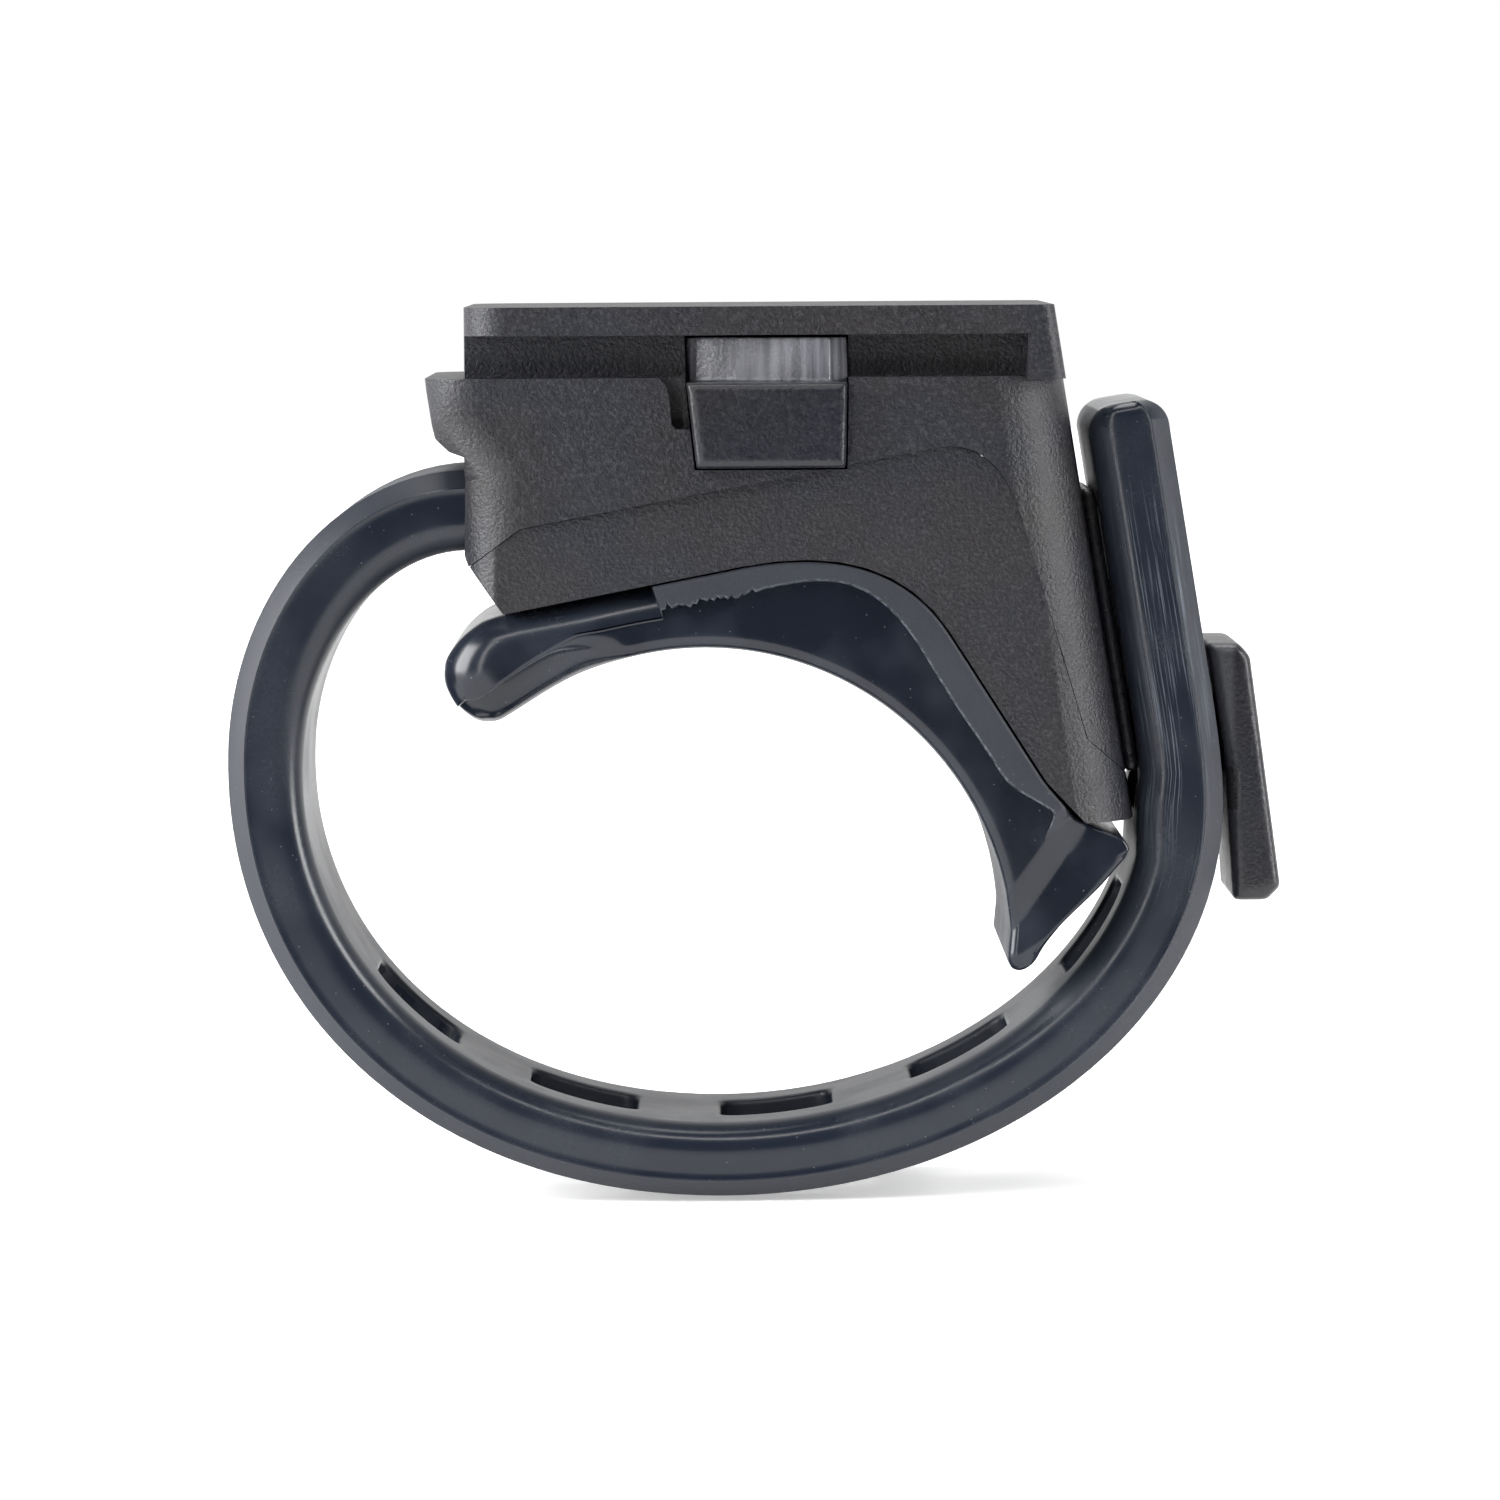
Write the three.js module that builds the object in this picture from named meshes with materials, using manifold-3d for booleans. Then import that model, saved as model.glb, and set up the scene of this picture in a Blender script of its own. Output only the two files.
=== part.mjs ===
// Strap-on handlebar bracket: a T-rail that an accessory slides onto, two side
// release buttons, a rubber saddle pad and a slotted rubber strap with its hook.
// Millimetres. Origin on the handlebar's axis, +Y along the bar, +X towards the
// strap hook, +Z up to the rail.
import * as THREE from "three";
import { mergeVertices } from "three/addons/utils/BufferGeometryUtils.js";
import Module from "manifold-3d";

const wasm = await Module();
wasm.setup();

// ---------------------------------------------------------------- dimensions

// Handlebar seat
const BAR_DIAMETER = 31.8;
const SEAT_CLEARANCE = 0.25;
const SEAT_RADIUS = BAR_DIAMETER / 2 + SEAT_CLEARANCE;

// Clearances
const SEAM_GAP = 0.2; // between two moulded pieces that meet
const SLIDE_GAP = 0.25; // round a button in its pocket
const SCREW_GAP = 0.1; // round a screw in its hole

// Body: rail, deck, side walls and leg
const BODY_WIDTH = 22;
const DECK_HEIGHT = 14.2; // deck above the seat's crown
const GROOVE_HEIGHT = 2.4;
const GROOVE_DEPTH = 2;
const FLANGE_THICKNESS = 1.35;
const LEG_STANDOFF = 2.35; // rail's end beyond the seat's edge
const RAIL_LENGTH = 31;
const STOP_LENGTH = 1.25;
const WALL = 1.8;
const LEG_WALL = 2.8; // housing's wall over the leg
const RAIL_CORNERS = [2.2, 0.8]; // rounding of the rail's upright corners, open end first
const WALL_CORNER = 2.8; // of the body's corners at the lip
const LEG_CORNER = 4.8; // of the body's corners down the leg
const CORNER_STEPS = 6;
const BRACKET_RECESS = 0.25; // bracket's side faces behind the housing's
const LEG_LEAN = THREE.MathUtils.degToRad(8.9);
const LEG_DROP = 2.15; // leg's foot below the arch's end
const LIP_REACH = 2.1;
const LIP_HEIGHT = 4;
// Lip's face: shares of its reach and of its height
const LIP_CURVE = [[1, 0], [0.75, 0.77], [0.4, 0.93], [0, 1]];
const LIP_SLANT = [0.6, 1.35]; // its rounded corner's line, as shares of its height
const LEFT_WALL_HEIGHT = 9.55;
const LEG_FOOT_LENGTH = 2.6;

// Arch over the bar and the seam above it, as distances from the seat's surface
const ARCH = { toe: [120.2, 4.8], crown: [66, 8], foot: [26.4, 4.1], rise: 8, fall: 6 };
const SEAM = { toe: [113.2, 8.45], crown: [60.4, 15.35], foot: [29, 7.1], rise: 3.4, fall: 4.6 };
const SEAM_SLOPES = [0.75, 0.9]; // how steeply the seam runs out past its toe and foot

// Release buttons, their latch tongues and springs
const BUTTON_INSET = 15.9; // button's centre from the rail's open end
const BUTTON_WIDTH = 8.3;
const BUTTON_HEIGHT = 4.6;
const BUTTON_PROUD = 1;
const BUTTON_TRAVEL = 1.7;
const BUTTON_FLANGE = 1;
// Notch in the wall beside a button: its edge, across and down from the pocket's corner
const NOTCH = [[1.3, 0], [1, 0.35], [0.8, 0.9], [0.7, 2.4], [0.45, 2.7], [0, 2.7]];
const NOTCH_DEPTH = 1.2;
const FLANGE_REACH = 0.9; // guide flange past the cap
const CAP_TAPER = [0.5, 0.1]; // cap narrower at its foot, on the left and the right
const CAP_ROUNDING = 0.35;
const TONGUE_REACH = 1.75;
const TONGUE_START = -0.6; // tongue's low end, out from the neck
const TONGUE_CATCH = 0.9;
const TONGUE_STEP = 0.4; // catch face's foot, out from the neck
const TONGUE_ROOT = 1.2; // tongue's root below the deck
const ROOF_SKIN = 0.05; // pocket's roof below the flange
const SPRING_SPACING = 4.2;
const SPRING_DIAMETER = 2.4;
const WIRE_DIAMETER = 0.4;
const SPRING_TURNS = 5;
const SPRING_SEAT = 0.5; // spring's end let into the button
const RIB_THICKNESS = 1.4;
const RIB_REACH = 5; // rib past the button's centre, and below the deck

// Rubber strap
const STRAP_WIDTH = 16;
const STRAP_THICKNESS = 3.9;
const STRAP_END_THICKNESS = 4.3; // at its root and up the leg
const STRAP_CHAMFER = 0.8;
const STRAP_STANDOFF = 0.95; // strap clear of the leg's outer face
const ROOT_DEPTH = 6.75; // root's centre below the deck
const ROOT_INSET = 5;
const LOOP_SIDE_ROOM = 7.3; // centre line's side, out from the seat's circle
const LOOP_DRAW_IN = 4.75; // centre line's bottom, in from the seat's circle
const LOOP_SIDE_DROP = 6.15; // upright point of its side, below the seat's crown
const LOOP_FULLNESS = 2.12; // 2 is an ellipse, more is squarer
const LOOP_BOTTOM_X = 1;
const STRAP_BEND_DROP = 1.2; // where it leaves the leg's line, below the neck
const STRAP_BEND = [2, 3.5]; // the bend's reach below and above that point
const ROOT_TAPER = [0.1, 0.25]; // shares of its length where it thins from the root
const END_TAPER = [0.5, 0.75]; // and where it thickens again
const LOOP_STEPS = 84;
const TAIL_TOP = 1.3; // strap's end below the deck
const TAIL_RADIUS = 1.4;
const SLOT_LENGTH = 6.4;
const SLOT_WIDTH = 6.9;
const SLOT_PITCH = 11.2;
const SLOTS_BELOW_HOOK = 5;
const FLEX_GAP = 0.3;
const FLEX_RUNG = 0.9; // flex line below the slot above it
const PIN_DIAMETER = 2;
const PIN_COVER = 1; // plastic over the pin's ends

// Strap hook
const NECK_RISE = 3.9; // neck's centre above the leg's foot
const NECK_HEIGHT = 3.1;
const TENON_DEPTH = 1.5;
const HOOK_WIDTH = 11;
const HOOK_THICKNESS = 2.1;
const HOOK_LIP = 3.6; // plate above the neck
const HOOK_TAIL = 7; // plate below the neck
const HOOK_KNEE = 1.2; // widest point of the plate, below the neck's centre
const HOOK_TAPER = 0.7; // the plate's outer face leans by this share of the leg's lean
const HOOK_FLARE = 0.4; // plate's foot away from the strap
const HOOK_CORNER = 0.7;
const HOOK_ROUNDING = 0.5;
const HOOK_INSET = 0.1; // plate's inner face inside its rounded edge
const PEDESTAL_THICKNESS = 0.6;
const PEDESTAL_MARGIN = 1.2; // pedestal past the screw's head

// Saddle pad
const LOBE_THICKNESS = 5;
const LOBE_ANGLE = 134.6; // lobe's tip round the bar
const LOBE_HEEL = 10.6; // degrees back from the tip to the seat's end
// Lobe's outline: degrees from its tip, share of its thickness
const LOBE_CURVE = [
  [-3, 0.1], [-0.6, 0.22], [0, 0.48], [-1.4, 0.72], [-3.6, 0.88], [-7, 0.96], [-10.9, 1],
];
const SEAT_FACETS = 18;
const SHIN_DROP = 0.6; // pad's foot starts below the leg's
const SEAT_END_DROP = 5.12; // seat's end below that
// Foot's outline: out from the seat's edge, below the shin
const FOOT_CURVE = [
  [2.3, -0.9], [4.2, 0], [6, 0.5], [6.4, 1.2], [4.6, 3.25], [2.6, 4.95], [1.5, 6.95],
  [0.5, 7.45], [-0.2, 6.75],
];
const PAD_ROUNDING = 0.5;

// Screws
const SCREW_TUCK = [0.5, 0.1]; // a post's edge behind the button's flange, left and right
const SCREW_Y = 5.5;
const SCREW_RADIUS = 1.1;
const SCREW_HEAD_RADIUS = 2;
const SCREW_HEAD_HEIGHT = 1.3;
const SCREW_RECESS = 0.4;
const SCREW_BITE = 3.6; // thread in the housing's boss
const SCREW_POINT = 0.8;
const SOCKET_DEPTH = 0.7;
const BOSS_RADIUS = 2;
const POST_WALL = 1; // round a sunk screw head
const HOLLOW_INSET = 1.2; // bracket's hollow, in from the seam's toe
const HOOK_SCREW_RISE = 0.25; // above the middle of the strap's last slot
const HOOK_SCREW_BITE = 1.9;
const HOOK_SCREW_HEAD = 0.8;
const HOOK_SCREW_POINT = 0.5;

// ------------------------------------------------------------ derived places

const halfWidth = BODY_WIDTH / 2;
const deckZ = SEAT_RADIUS + DECK_HEIGHT;
const flangeZ = deckZ + GROOVE_HEIGHT;
const railTopZ = flangeZ + FLANGE_THICKNESS;
const railEndX = SEAT_RADIUS + LEG_STANDOFF;
const railStartX = railEndX - RAIL_LENGTH;
const neckHalf = halfWidth - GROOVE_DEPTH;
const legFootZ = round(ARCH.foot).y - LEG_DROP;
const rootZ = deckZ - ROOT_DEPTH;
const neckZ = legFootZ + NECK_RISE;
const pinLength = BODY_WIDTH - 2 * PIN_COVER;
const loopLeftX = -(SEAT_RADIUS + LOOP_SIDE_ROOM);
const loopBottomZ = LOOP_DRAW_IN - SEAT_RADIUS;
const loopSideZ = SEAT_RADIUS - LOOP_SIDE_DROP;
const buttonX = railStartX + BUTTON_INSET;
const flangeHalf = BUTTON_WIDTH / 2 + FLANGE_REACH;
const flangeOuterY = halfWidth - WALL - SLIDE_GAP;
const flangeInnerY = flangeOuterY - BUTTON_FLANGE;
const pocketInnerY = flangeInnerY - BUTTON_TRAVEL - SLIDE_GAP;
const postRadius = SCREW_HEAD_RADIUS + POST_WALL;
const screwReach = SCREW_TUCK.map((tuck) => flangeHalf + SLIDE_GAP + postRadius - tuck);
const screwXs = [buttonX - screwReach[0], buttonX + screwReach[1]];
const far = 60; // reach of a cutting solid beyond the object

const legOuterX = (z) => railEndX + (railTopZ - z) * Math.tan(LEG_LEAN);
const outwardX = (z, out) => legOuterX(z) + out / Math.cos(LEG_LEAN);
const strapOut = STRAP_STANDOFF + STRAP_END_THICKNESS;
const pedestalOut = (STRAP_STANDOFF + PEDESTAL_THICKNESS) / 2;
const strapCentreX = (z) => outwardX(z, strapOut - STRAP_THICKNESS / 2);

// ------------------------------------------------------------------- helpers

/** A point at an angle round the bar, a distance out from the seat's surface. */
function round([degrees, offset]) {
  const radius = SEAT_RADIUS + offset;
  const angle = THREE.MathUtils.degToRad(degrees);
  return new THREE.Vector2(radius * Math.cos(angle), radius * Math.sin(angle));
}

const at = (x, z) => new THREE.Vector2(x, z);

/** A closed geometry as a solid that can be cut and joined. */
function solid(geometry) {
  const bare = geometry.index ? geometry.toNonIndexed() : geometry.clone();
  bare.deleteAttribute("normal");
  bare.deleteAttribute("uv");
  const merged = mergeVertices(bare, 1e-4);
  return new wasm.Manifold(
    new wasm.Mesh({
      numProp: 3,
      vertProperties: merged.attributes.position.array,
      triVerts: new Uint32Array(merged.index.array),
    }),
  );
}

/** An X-Z outline carried along Y from y0 to y1, with its edges rounded. */
function prism(points, y0, y1, rounding = 0, steps = 3) {
  const geometry = new THREE.ExtrudeGeometry(new THREE.Shape(points), {
    depth: y1 - y0 - 2 * rounding,
    bevelEnabled: rounding > 0,
    bevelThickness: rounding,
    bevelSize: rounding,
    bevelOffset: -rounding,
    bevelSegments: steps,
  });
  geometry.rotateX(Math.PI / 2);
  return solid(geometry.translate(0, y1 - rounding, 0));
}

/** A box between two corners. */
function block([x0, y0, z0], [x1, y1, z1]) {
  const geometry = new THREE.BoxGeometry(x1 - x0, y1 - y0, z1 - z0);
  return solid(geometry.translate((x0 + x1) / 2, (y0 + y1) / 2, (z0 + z1) / 2));
}

/** A turned solid: [radius, height] pairs carried round +Z. */
function turned(profile, segments = 20) {
  return new THREE.LatheGeometry(profile.map(([r, h]) => at(r, h)), segments).rotateX(
    Math.PI / 2,
  );
}

/** A round bar of a radius along +Z from z0 to z1, as a turned profile. */
const rod = (radius, z0, z1) => [
  [0, z0],
  [radius, z0],
  [radius, z1],
  [0, z1],
];

/** Outline through a toe, rounded over a crown, down to a foot. */
function overTheBar({ toe, crown, foot, rise, fall }, lift = 0, steps = 8) {
  const [a, b, c] = [toe, crown, foot].map(([angle, offset]) => round([angle, offset + lift]));
  const start = b.clone().add(a.clone().sub(b).setLength(rise));
  const end = b.clone().add(c.clone().sub(b).setLength(fall));
  return [a, ...new THREE.QuadraticBezierCurve(start, b, end).getPoints(steps), c];
}

const mirrorY = (piece) => piece.mirror([0, 1, 0]);

// ------------------------------------------------------------------ the body

/** The lip's face from the deck down to the left wall. */
function lipLine() {
  return LIP_CURVE.map(([reach, height]) =>
    at(railStartX - reach * LIP_REACH, deckZ - height * LIP_HEIGHT),
  );
}

/** Outline of housing and bracket together, rail at the top, leg at the right. */
function bodyOutline() {
  const wallFoot = deckZ - LEFT_WALL_HEIGHT;
  return [
    at(railStartX, railTopZ),
    at(railStartX, deckZ),
    ...lipLine(),
    at(railStartX, wallFoot),
    ...overTheBar(ARCH),
    at(legOuterX(legFootZ) - LEG_FOOT_LENGTH, legFootZ),
    at(legOuterX(legFootZ), legFootZ),
    at(railEndX, railTopZ),
  ];
}

/** A slab between two end lines, its upright corners rounded. */
function slab(left, right, radius) {
  return prism([...left, ...right], -halfWidth, halfWidth, radius, CORNER_STEPS);
}

/** Housing and bracket as one block: small corners at the rail, large down the leg. */
function wholeBody() {
  const low = legFootZ - far;
  const high = railTopZ + far;
  const farLeft = [at(-far, high), at(-far, low)];
  const farRight = [at(far, low), at(far, high)];
  const leg = [at(legOuterX(low), low), at(legOuterX(high), high)];
  const wall = [
    at(railStartX - LIP_REACH, high),
    at(railStartX - LIP_REACH, deckZ - LIP_SLANT[0] * LIP_HEIGHT),
    at(railStartX, deckZ - LIP_SLANT[1] * LIP_HEIGHT),
    at(railStartX, low),
  ];
  const railEnd = [at(railStartX, high), at(railStartX, low)];
  const above = block([-far, -far, deckZ], [far, far, high]);
  const outline = prism(bodyOutline(), -halfWidth, halfWidth);
  const rail = outline
    .intersect(above)
    .intersect(slab(railEnd, farRight, RAIL_CORNERS[0]))
    .intersect(slab(farLeft, leg, RAIL_CORNERS[1]));
  const below = outline
    .subtract(above)
    .intersect(slab(wall, farRight, WALL_CORNER))
    .intersect(slab(farLeft, leg, LEG_CORNER));
  return rail.add(below);
}

/** Everything below the seam, lowered by a gap. */
function belowSeam(gap) {
  const line = overTheBar(SEAM, -gap);
  const first = line[0];
  const last = line[line.length - 1];
  return [
    at(first.x - far, first.y - far * SEAM_SLOPES[0]),
    ...line,
    at(last.x + far, last.y - far * SEAM_SLOPES[1]),
  ];
}

const body = wholeBody();

/** Height of an outline that runs towards +X, at one X. */
function heightAt(outline, x) {
  const index = outline.findIndex((p) => p.x > x);
  const [p, q] = [outline[index - 1], outline[index]];
  return p.y + ((q.y - p.y) * (x - p.x)) / (q.x - p.x);
}

/** Heights of a case screw's head seat and tip: its head clears the arch. */
function screwHeights(x) {
  const arch = overTheBar(ARCH);
  const edges = [x - SCREW_HEAD_RADIUS, x + SCREW_HEAD_RADIUS];
  const surface = Math.max(...edges.map((edge) => heightAt(arch, edge)));
  return {
    seat: surface + SCREW_RECESS + SCREW_HEAD_HEIGHT,
    tip: heightAt(overTheBar(SEAM), x) + SCREW_BITE,
  };
}

const screwPlaces = screwXs.flatMap((x) => [-SCREW_Y, SCREW_Y].map((y) => ({ x, y })));

/** Pockets that both buttons slide in, through the side walls, with their notches. */
function buttonPockets() {
  const half = BUTTON_WIDTH / 2 + SLIDE_GAP;
  const low = deckZ - BUTTON_HEIGHT - SLIDE_GAP;
  const roof = flangeZ - ROOF_SKIN;
  const pocket = prism(
    [
      at(buttonX + half, deckZ),
      at(buttonX + half, roof),
      at(buttonX - half, roof),
      at(buttonX - half, deckZ),
      at(buttonX - half + CAP_TAPER[0], low),
      at(buttonX + half - CAP_TAPER[1], low),
    ],
    -far,
    -pocketInnerY,
  );
  const notch = prism(
    [
      at(buttonX, deckZ),
      ...NOTCH.map(([across, down]) => at(buttonX - half - across, deckZ - down)),
      at(buttonX, deckZ - NOTCH.at(-1)[1]),
    ],
    -far,
    NOTCH_DEPTH - halfWidth,
  );
  const front = pocket.add(notch);
  return front.add(mirrorY(front));
}

/** Upper housing: rail, deck, walls and the leg's outer wall in one moulding. */
function upperHousing() {
  let housing = body.subtract(prism(belowSeam(0), -far, far));
  for (const side of [-1, 1]) {
    const [y0, y1] = side < 0 ? [-far, -neckHalf] : [neckHalf, far];
    housing = housing.subtract(
      block([railStartX - far, y0, deckZ], [railEndX - STOP_LENGTH, y1, flangeZ]),
    );
  }
  const cavityTop = railTopZ - WALL;
  const cavityEnd = railEndX - LEG_WALL;
  const cavity = (half, top) =>
    block([railStartX + WALL, -half, 0], [cavityEnd, half, top]);
  let inside = cavity(halfWidth - WALL, deckZ - WALL).add(cavity(neckHalf - WALL, cavityTop));
  inside = inside.subtract(
    block(
      [buttonX - RIB_REACH, -RIB_THICKNESS / 2, deckZ - RIB_REACH],
      [buttonX + RIB_REACH, RIB_THICKNESS / 2, far],
    ),
  );
  for (const { x, y } of screwPlaces) {
    const boss = solid(turned(rod(BOSS_RADIUS, 0, railTopZ), 16).translate(x, y, 0));
    inside = inside.subtract(boss);
  }
  housing = housing.subtract(inside);
  for (const { x, y } of screwPlaces) {
    const hole = rod(SCREW_RADIUS + SCREW_GAP, 0, screwHeights(x).tip + SCREW_GAP);
    housing = housing.subtract(solid(turned(hole, 16).translate(x, y, 0)));
  }
  return housing
    .subtract(buttonPockets())
    .subtract(strapRootSpace())
    .subtract(pinSpace())
    .subtract(hookScrewBar(SCREW_RADIUS + SCREW_GAP, HOOK_SCREW_BITE + SCREW_GAP))
    .subtract(tenon(SEAM_GAP));
}

/** Lower bracket: an arched trough under the housing. */
function lowerBracket() {
  const side = halfWidth - BRACKET_RECESS;
  let bracket = body.intersect(prism(belowSeam(SEAM_GAP), -side, side));
  const floor = overTheBar(ARCH, WALL);
  const first = floor[0];
  const last = floor[floor.length - 1];
  const hollow = prism(
    [
      at(first.x + HOLLOW_INSET, far),
      ...floor.slice(1, -1),
      at(last.x, last.y + LEG_WALL),
      at(last.x, far),
    ],
    WALL - halfWidth,
    halfWidth - WALL,
  );
  let posts = hollow;
  for (const { x, y } of screwPlaces) {
    const post = rod(postRadius, 0, far);
    posts = posts.subtract(solid(turned(post, 16).translate(x, y, 0)));
  }
  bracket = bracket.subtract(posts);
  for (const { x, y } of screwPlaces) {
    const { seat } = screwHeights(x);
    const hole = [
      [0, 0],
      [SCREW_HEAD_RADIUS + SCREW_GAP, 0],
      [SCREW_HEAD_RADIUS + SCREW_GAP, seat + SCREW_GAP],
      [SCREW_RADIUS + SCREW_GAP, seat + SCREW_GAP],
      [SCREW_RADIUS + SCREW_GAP, far],
      [0, far],
    ];
    bracket = bracket.subtract(solid(turned(hole, 16).translate(x, y, 0)));
  }
  return bracket
    .subtract(buttonPockets())
    .subtract(strapRootSpace())
    .subtract(pinSpace())
    .subtract(tenon(SEAM_GAP));
}

/** One case screw, head down, at its place. */
function caseScrew({ x, y }) {
  const { seat, tip } = screwHeights(x);
  const head = seat - SCREW_HEAD_HEIGHT;
  const profile = [
    [0, head + SOCKET_DEPTH],
    [SCREW_RADIUS, head + SOCKET_DEPTH],
    [SCREW_RADIUS, head],
    [SCREW_HEAD_RADIUS, head],
    [SCREW_HEAD_RADIUS, seat],
    [SCREW_RADIUS, seat],
    [SCREW_RADIUS, tip - SCREW_POINT],
    [0, tip],
  ];
  return solid(turned(profile, 16).translate(x, y, 0));
}

// ------------------------------------------------------------- the buttons

/** Release button on the -Y side: cap, guide flange, stem and latch tongue. */
function button() {
  const left = buttonX - BUTTON_WIDTH / 2;
  const right = buttonX + BUTTON_WIDTH / 2;
  const capFoot = deckZ - BUTTON_HEIGHT;
  const capTop = deckZ - SLIDE_GAP;
  const cap = prism(
    [
      at(left, capTop),
      at(left + CAP_TAPER[0], capFoot),
      at(right - CAP_TAPER[1], capFoot),
      at(right, capTop),
    ],
    -halfWidth - BUTTON_PROUD,
    -flangeInnerY,
    CAP_ROUNDING,
    2,
  );
  const flange = block(
    [buttonX - flangeHalf, -flangeOuterY, capFoot - FLANGE_REACH],
    [buttonX + flangeHalf, -flangeInnerY, deckZ - WALL - SLIDE_GAP],
  );
  const ramp = new THREE.QuadraticBezierCurve(
    at(left, neckHalf + TONGUE_START),
    at(buttonX, neckHalf + TONGUE_REACH),
    at(right - TONGUE_CATCH, neckHalf + TONGUE_REACH),
  ).getPoints(6);
  const plan = [
    ...ramp,
    at(right, neckHalf + TONGUE_STEP),
    at(right, flangeInnerY),
    at(left, flangeInnerY),
  ];
  const tongueFoot = deckZ - TONGUE_ROOT;
  const tongueTop = flangeZ - ROOF_SKIN - SLIDE_GAP;
  const tongueGeometry = new THREE.ExtrudeGeometry(
    new THREE.Shape(plan.map((p) => at(p.x, -p.y))),
    { depth: tongueTop - tongueFoot, bevelEnabled: false },
  );
  let whole = cap.add(flange).add(solid(tongueGeometry.translate(0, 0, tongueFoot)));
  const seat = rod(SPRING_DIAMETER / 2 + SLIDE_GAP, 0, far);
  for (const x of springXs) {
    whole = whole.subtract(alongY(seat, x, -flangeInnerY - SPRING_SEAT, springZ));
  }
  return whole;
}

const springXs = [buttonX - SPRING_SPACING / 2, buttonX + SPRING_SPACING / 2];
const springZ = deckZ - BUTTON_HEIGHT / 2;
const springOuterY = flangeInnerY + SPRING_SEAT - SEAM_GAP;
const springInnerY = RIB_THICKNESS / 2 + SEAM_GAP;

/** A turned profile whose axis runs along +Y from a point. */
function alongY(profile, x, y, z, segments = 14) {
  return solid(turned(profile, segments).rotateX(-Math.PI / 2).translate(x, y, z));
}

/** Compression spring from the centre rib out to the button on the -Y side. */
function spring(x) {
  class Coil extends THREE.Curve {
    getPoint(t, target = new THREE.Vector3()) {
      const angle = t * SPRING_TURNS * 2 * Math.PI;
      const radius = (SPRING_DIAMETER - WIRE_DIAMETER) / 2;
      const start = springInnerY + WIRE_DIAMETER / 2;
      const length = springOuterY - springInnerY - WIRE_DIAMETER;
      return target.set(
        x + radius * Math.cos(angle),
        -start - t * length,
        springZ + radius * Math.sin(angle),
      );
    }
  }
  const section = new THREE.Shape();
  section.absarc(0, 0, WIRE_DIAMETER / 2, 0, 2 * Math.PI);
  const geometry = new THREE.ExtrudeGeometry(section, {
    extrudePath: new Coil(),
    steps: SPRING_TURNS * 10,
    curveSegments: 3,
    bevelEnabled: false,
  });
  return solid(geometry);
}

// --------------------------------------------------------------- the strap

/** Centre line of the whole strap, from its root in the housing to its end. */
function strapPath() {
  const bendZ = neckZ - STRAP_BEND_DROP;
  const sideZ = bendZ - STRAP_BEND[0];
  const rightX = strapCentreX(bendZ);
  const lineZ = bendZ + STRAP_BEND[1];
  const quarter = (x, z, a, b, from) => {
    const start = (from * Math.PI) / 2;
    return new THREE.EllipseCurve(x, z, a, b, start, start + Math.PI / 2);
  };
  const fullQuarter = (x, z, a, b, from) => {
    const curve = quarter(x, z, a, b, from);
    const swell = (share) => Math.sign(share) * Math.abs(share) ** (2 / LOOP_FULLNESS);
    const plain = curve.getPoint.bind(curve);
    curve.getPoint = (t) => {
      const point = plain(t);
      return at(x + a * swell((point.x - x) / a), z + b * swell((point.y - z) / b));
    };
    return curve;
  };
  const path = new THREE.CurvePath();
  path.add(new THREE.LineCurve(at(railStartX + ROOT_INSET, rootZ), at(railStartX, rootZ)));
  path.add(quarter(railStartX, loopSideZ, railStartX - loopLeftX, rootZ - loopSideZ, 1));
  const reach = LOOP_BOTTOM_X - loopLeftX;
  path.add(fullQuarter(LOOP_BOTTOM_X, loopSideZ, reach, loopSideZ - loopBottomZ, 2));
  path.add(quarter(LOOP_BOTTOM_X, sideZ, rightX - LOOP_BOTTOM_X, sideZ - loopBottomZ, 3));
  path.add(
    new THREE.QuadraticBezierCurve(
      at(rightX, sideZ),
      at(rightX, bendZ),
      at(strapCentreX(lineZ), lineZ),
    ),
  );
  const endZ = deckZ - TAIL_TOP;
  path.add(new THREE.LineCurve(at(strapCentreX(lineZ), lineZ), at(strapCentreX(endZ), endZ)));
  return path;
}

const centreLine = strapPath();
const strapLength = centreLine.getLength();

/** Point, unit tangent and unit outward normal at a distance along the strap. */
function strapAt(distance) {
  const step = 0.05;
  const point = centreLine.getPoint(distance / strapLength);
  const before = centreLine.getPoint(Math.max(0, distance - step) / strapLength);
  const after = centreLine.getPoint(Math.min(strapLength, distance + step) / strapLength);
  const tangent = after.sub(before).normalize();
  return { point, tangent, outward: at(tangent.y, -tangent.x) };
}

/** Distance along the strap's straight end at which it reaches a height. */
function strapDistance(z) {
  return strapLength - (deckZ - TAIL_TOP - z) / Math.cos(LEG_LEAN);
}

/** The strap's depth inwards from its centre line: it thickens to both ends. */
function innerDepth(distance) {
  const { smoothstep } = THREE.MathUtils;
  const along = distance / strapLength;
  const share = 1 - smoothstep(along, ...ROOT_TAPER) + smoothstep(along, ...END_TAPER);
  return STRAP_THICKNESS / 2 + share * (STRAP_END_THICKNESS - STRAP_THICKNESS);
}

/** Outline of the strap's side between two distances along it. */
function ribbon(from, to, steps) {
  const outer = [];
  const inner = [];
  for (let i = 0; i <= steps; i++) {
    const distance = from + ((to - from) * i) / steps;
    const { point, outward } = strapAt(distance);
    outer.push(point.clone().addScaledVector(outward, STRAP_THICKNESS / 2));
    inner.push(point.clone().addScaledVector(outward, -innerDepth(distance)));
  }
  return [...outer, ...inner.reverse()];
}

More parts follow.
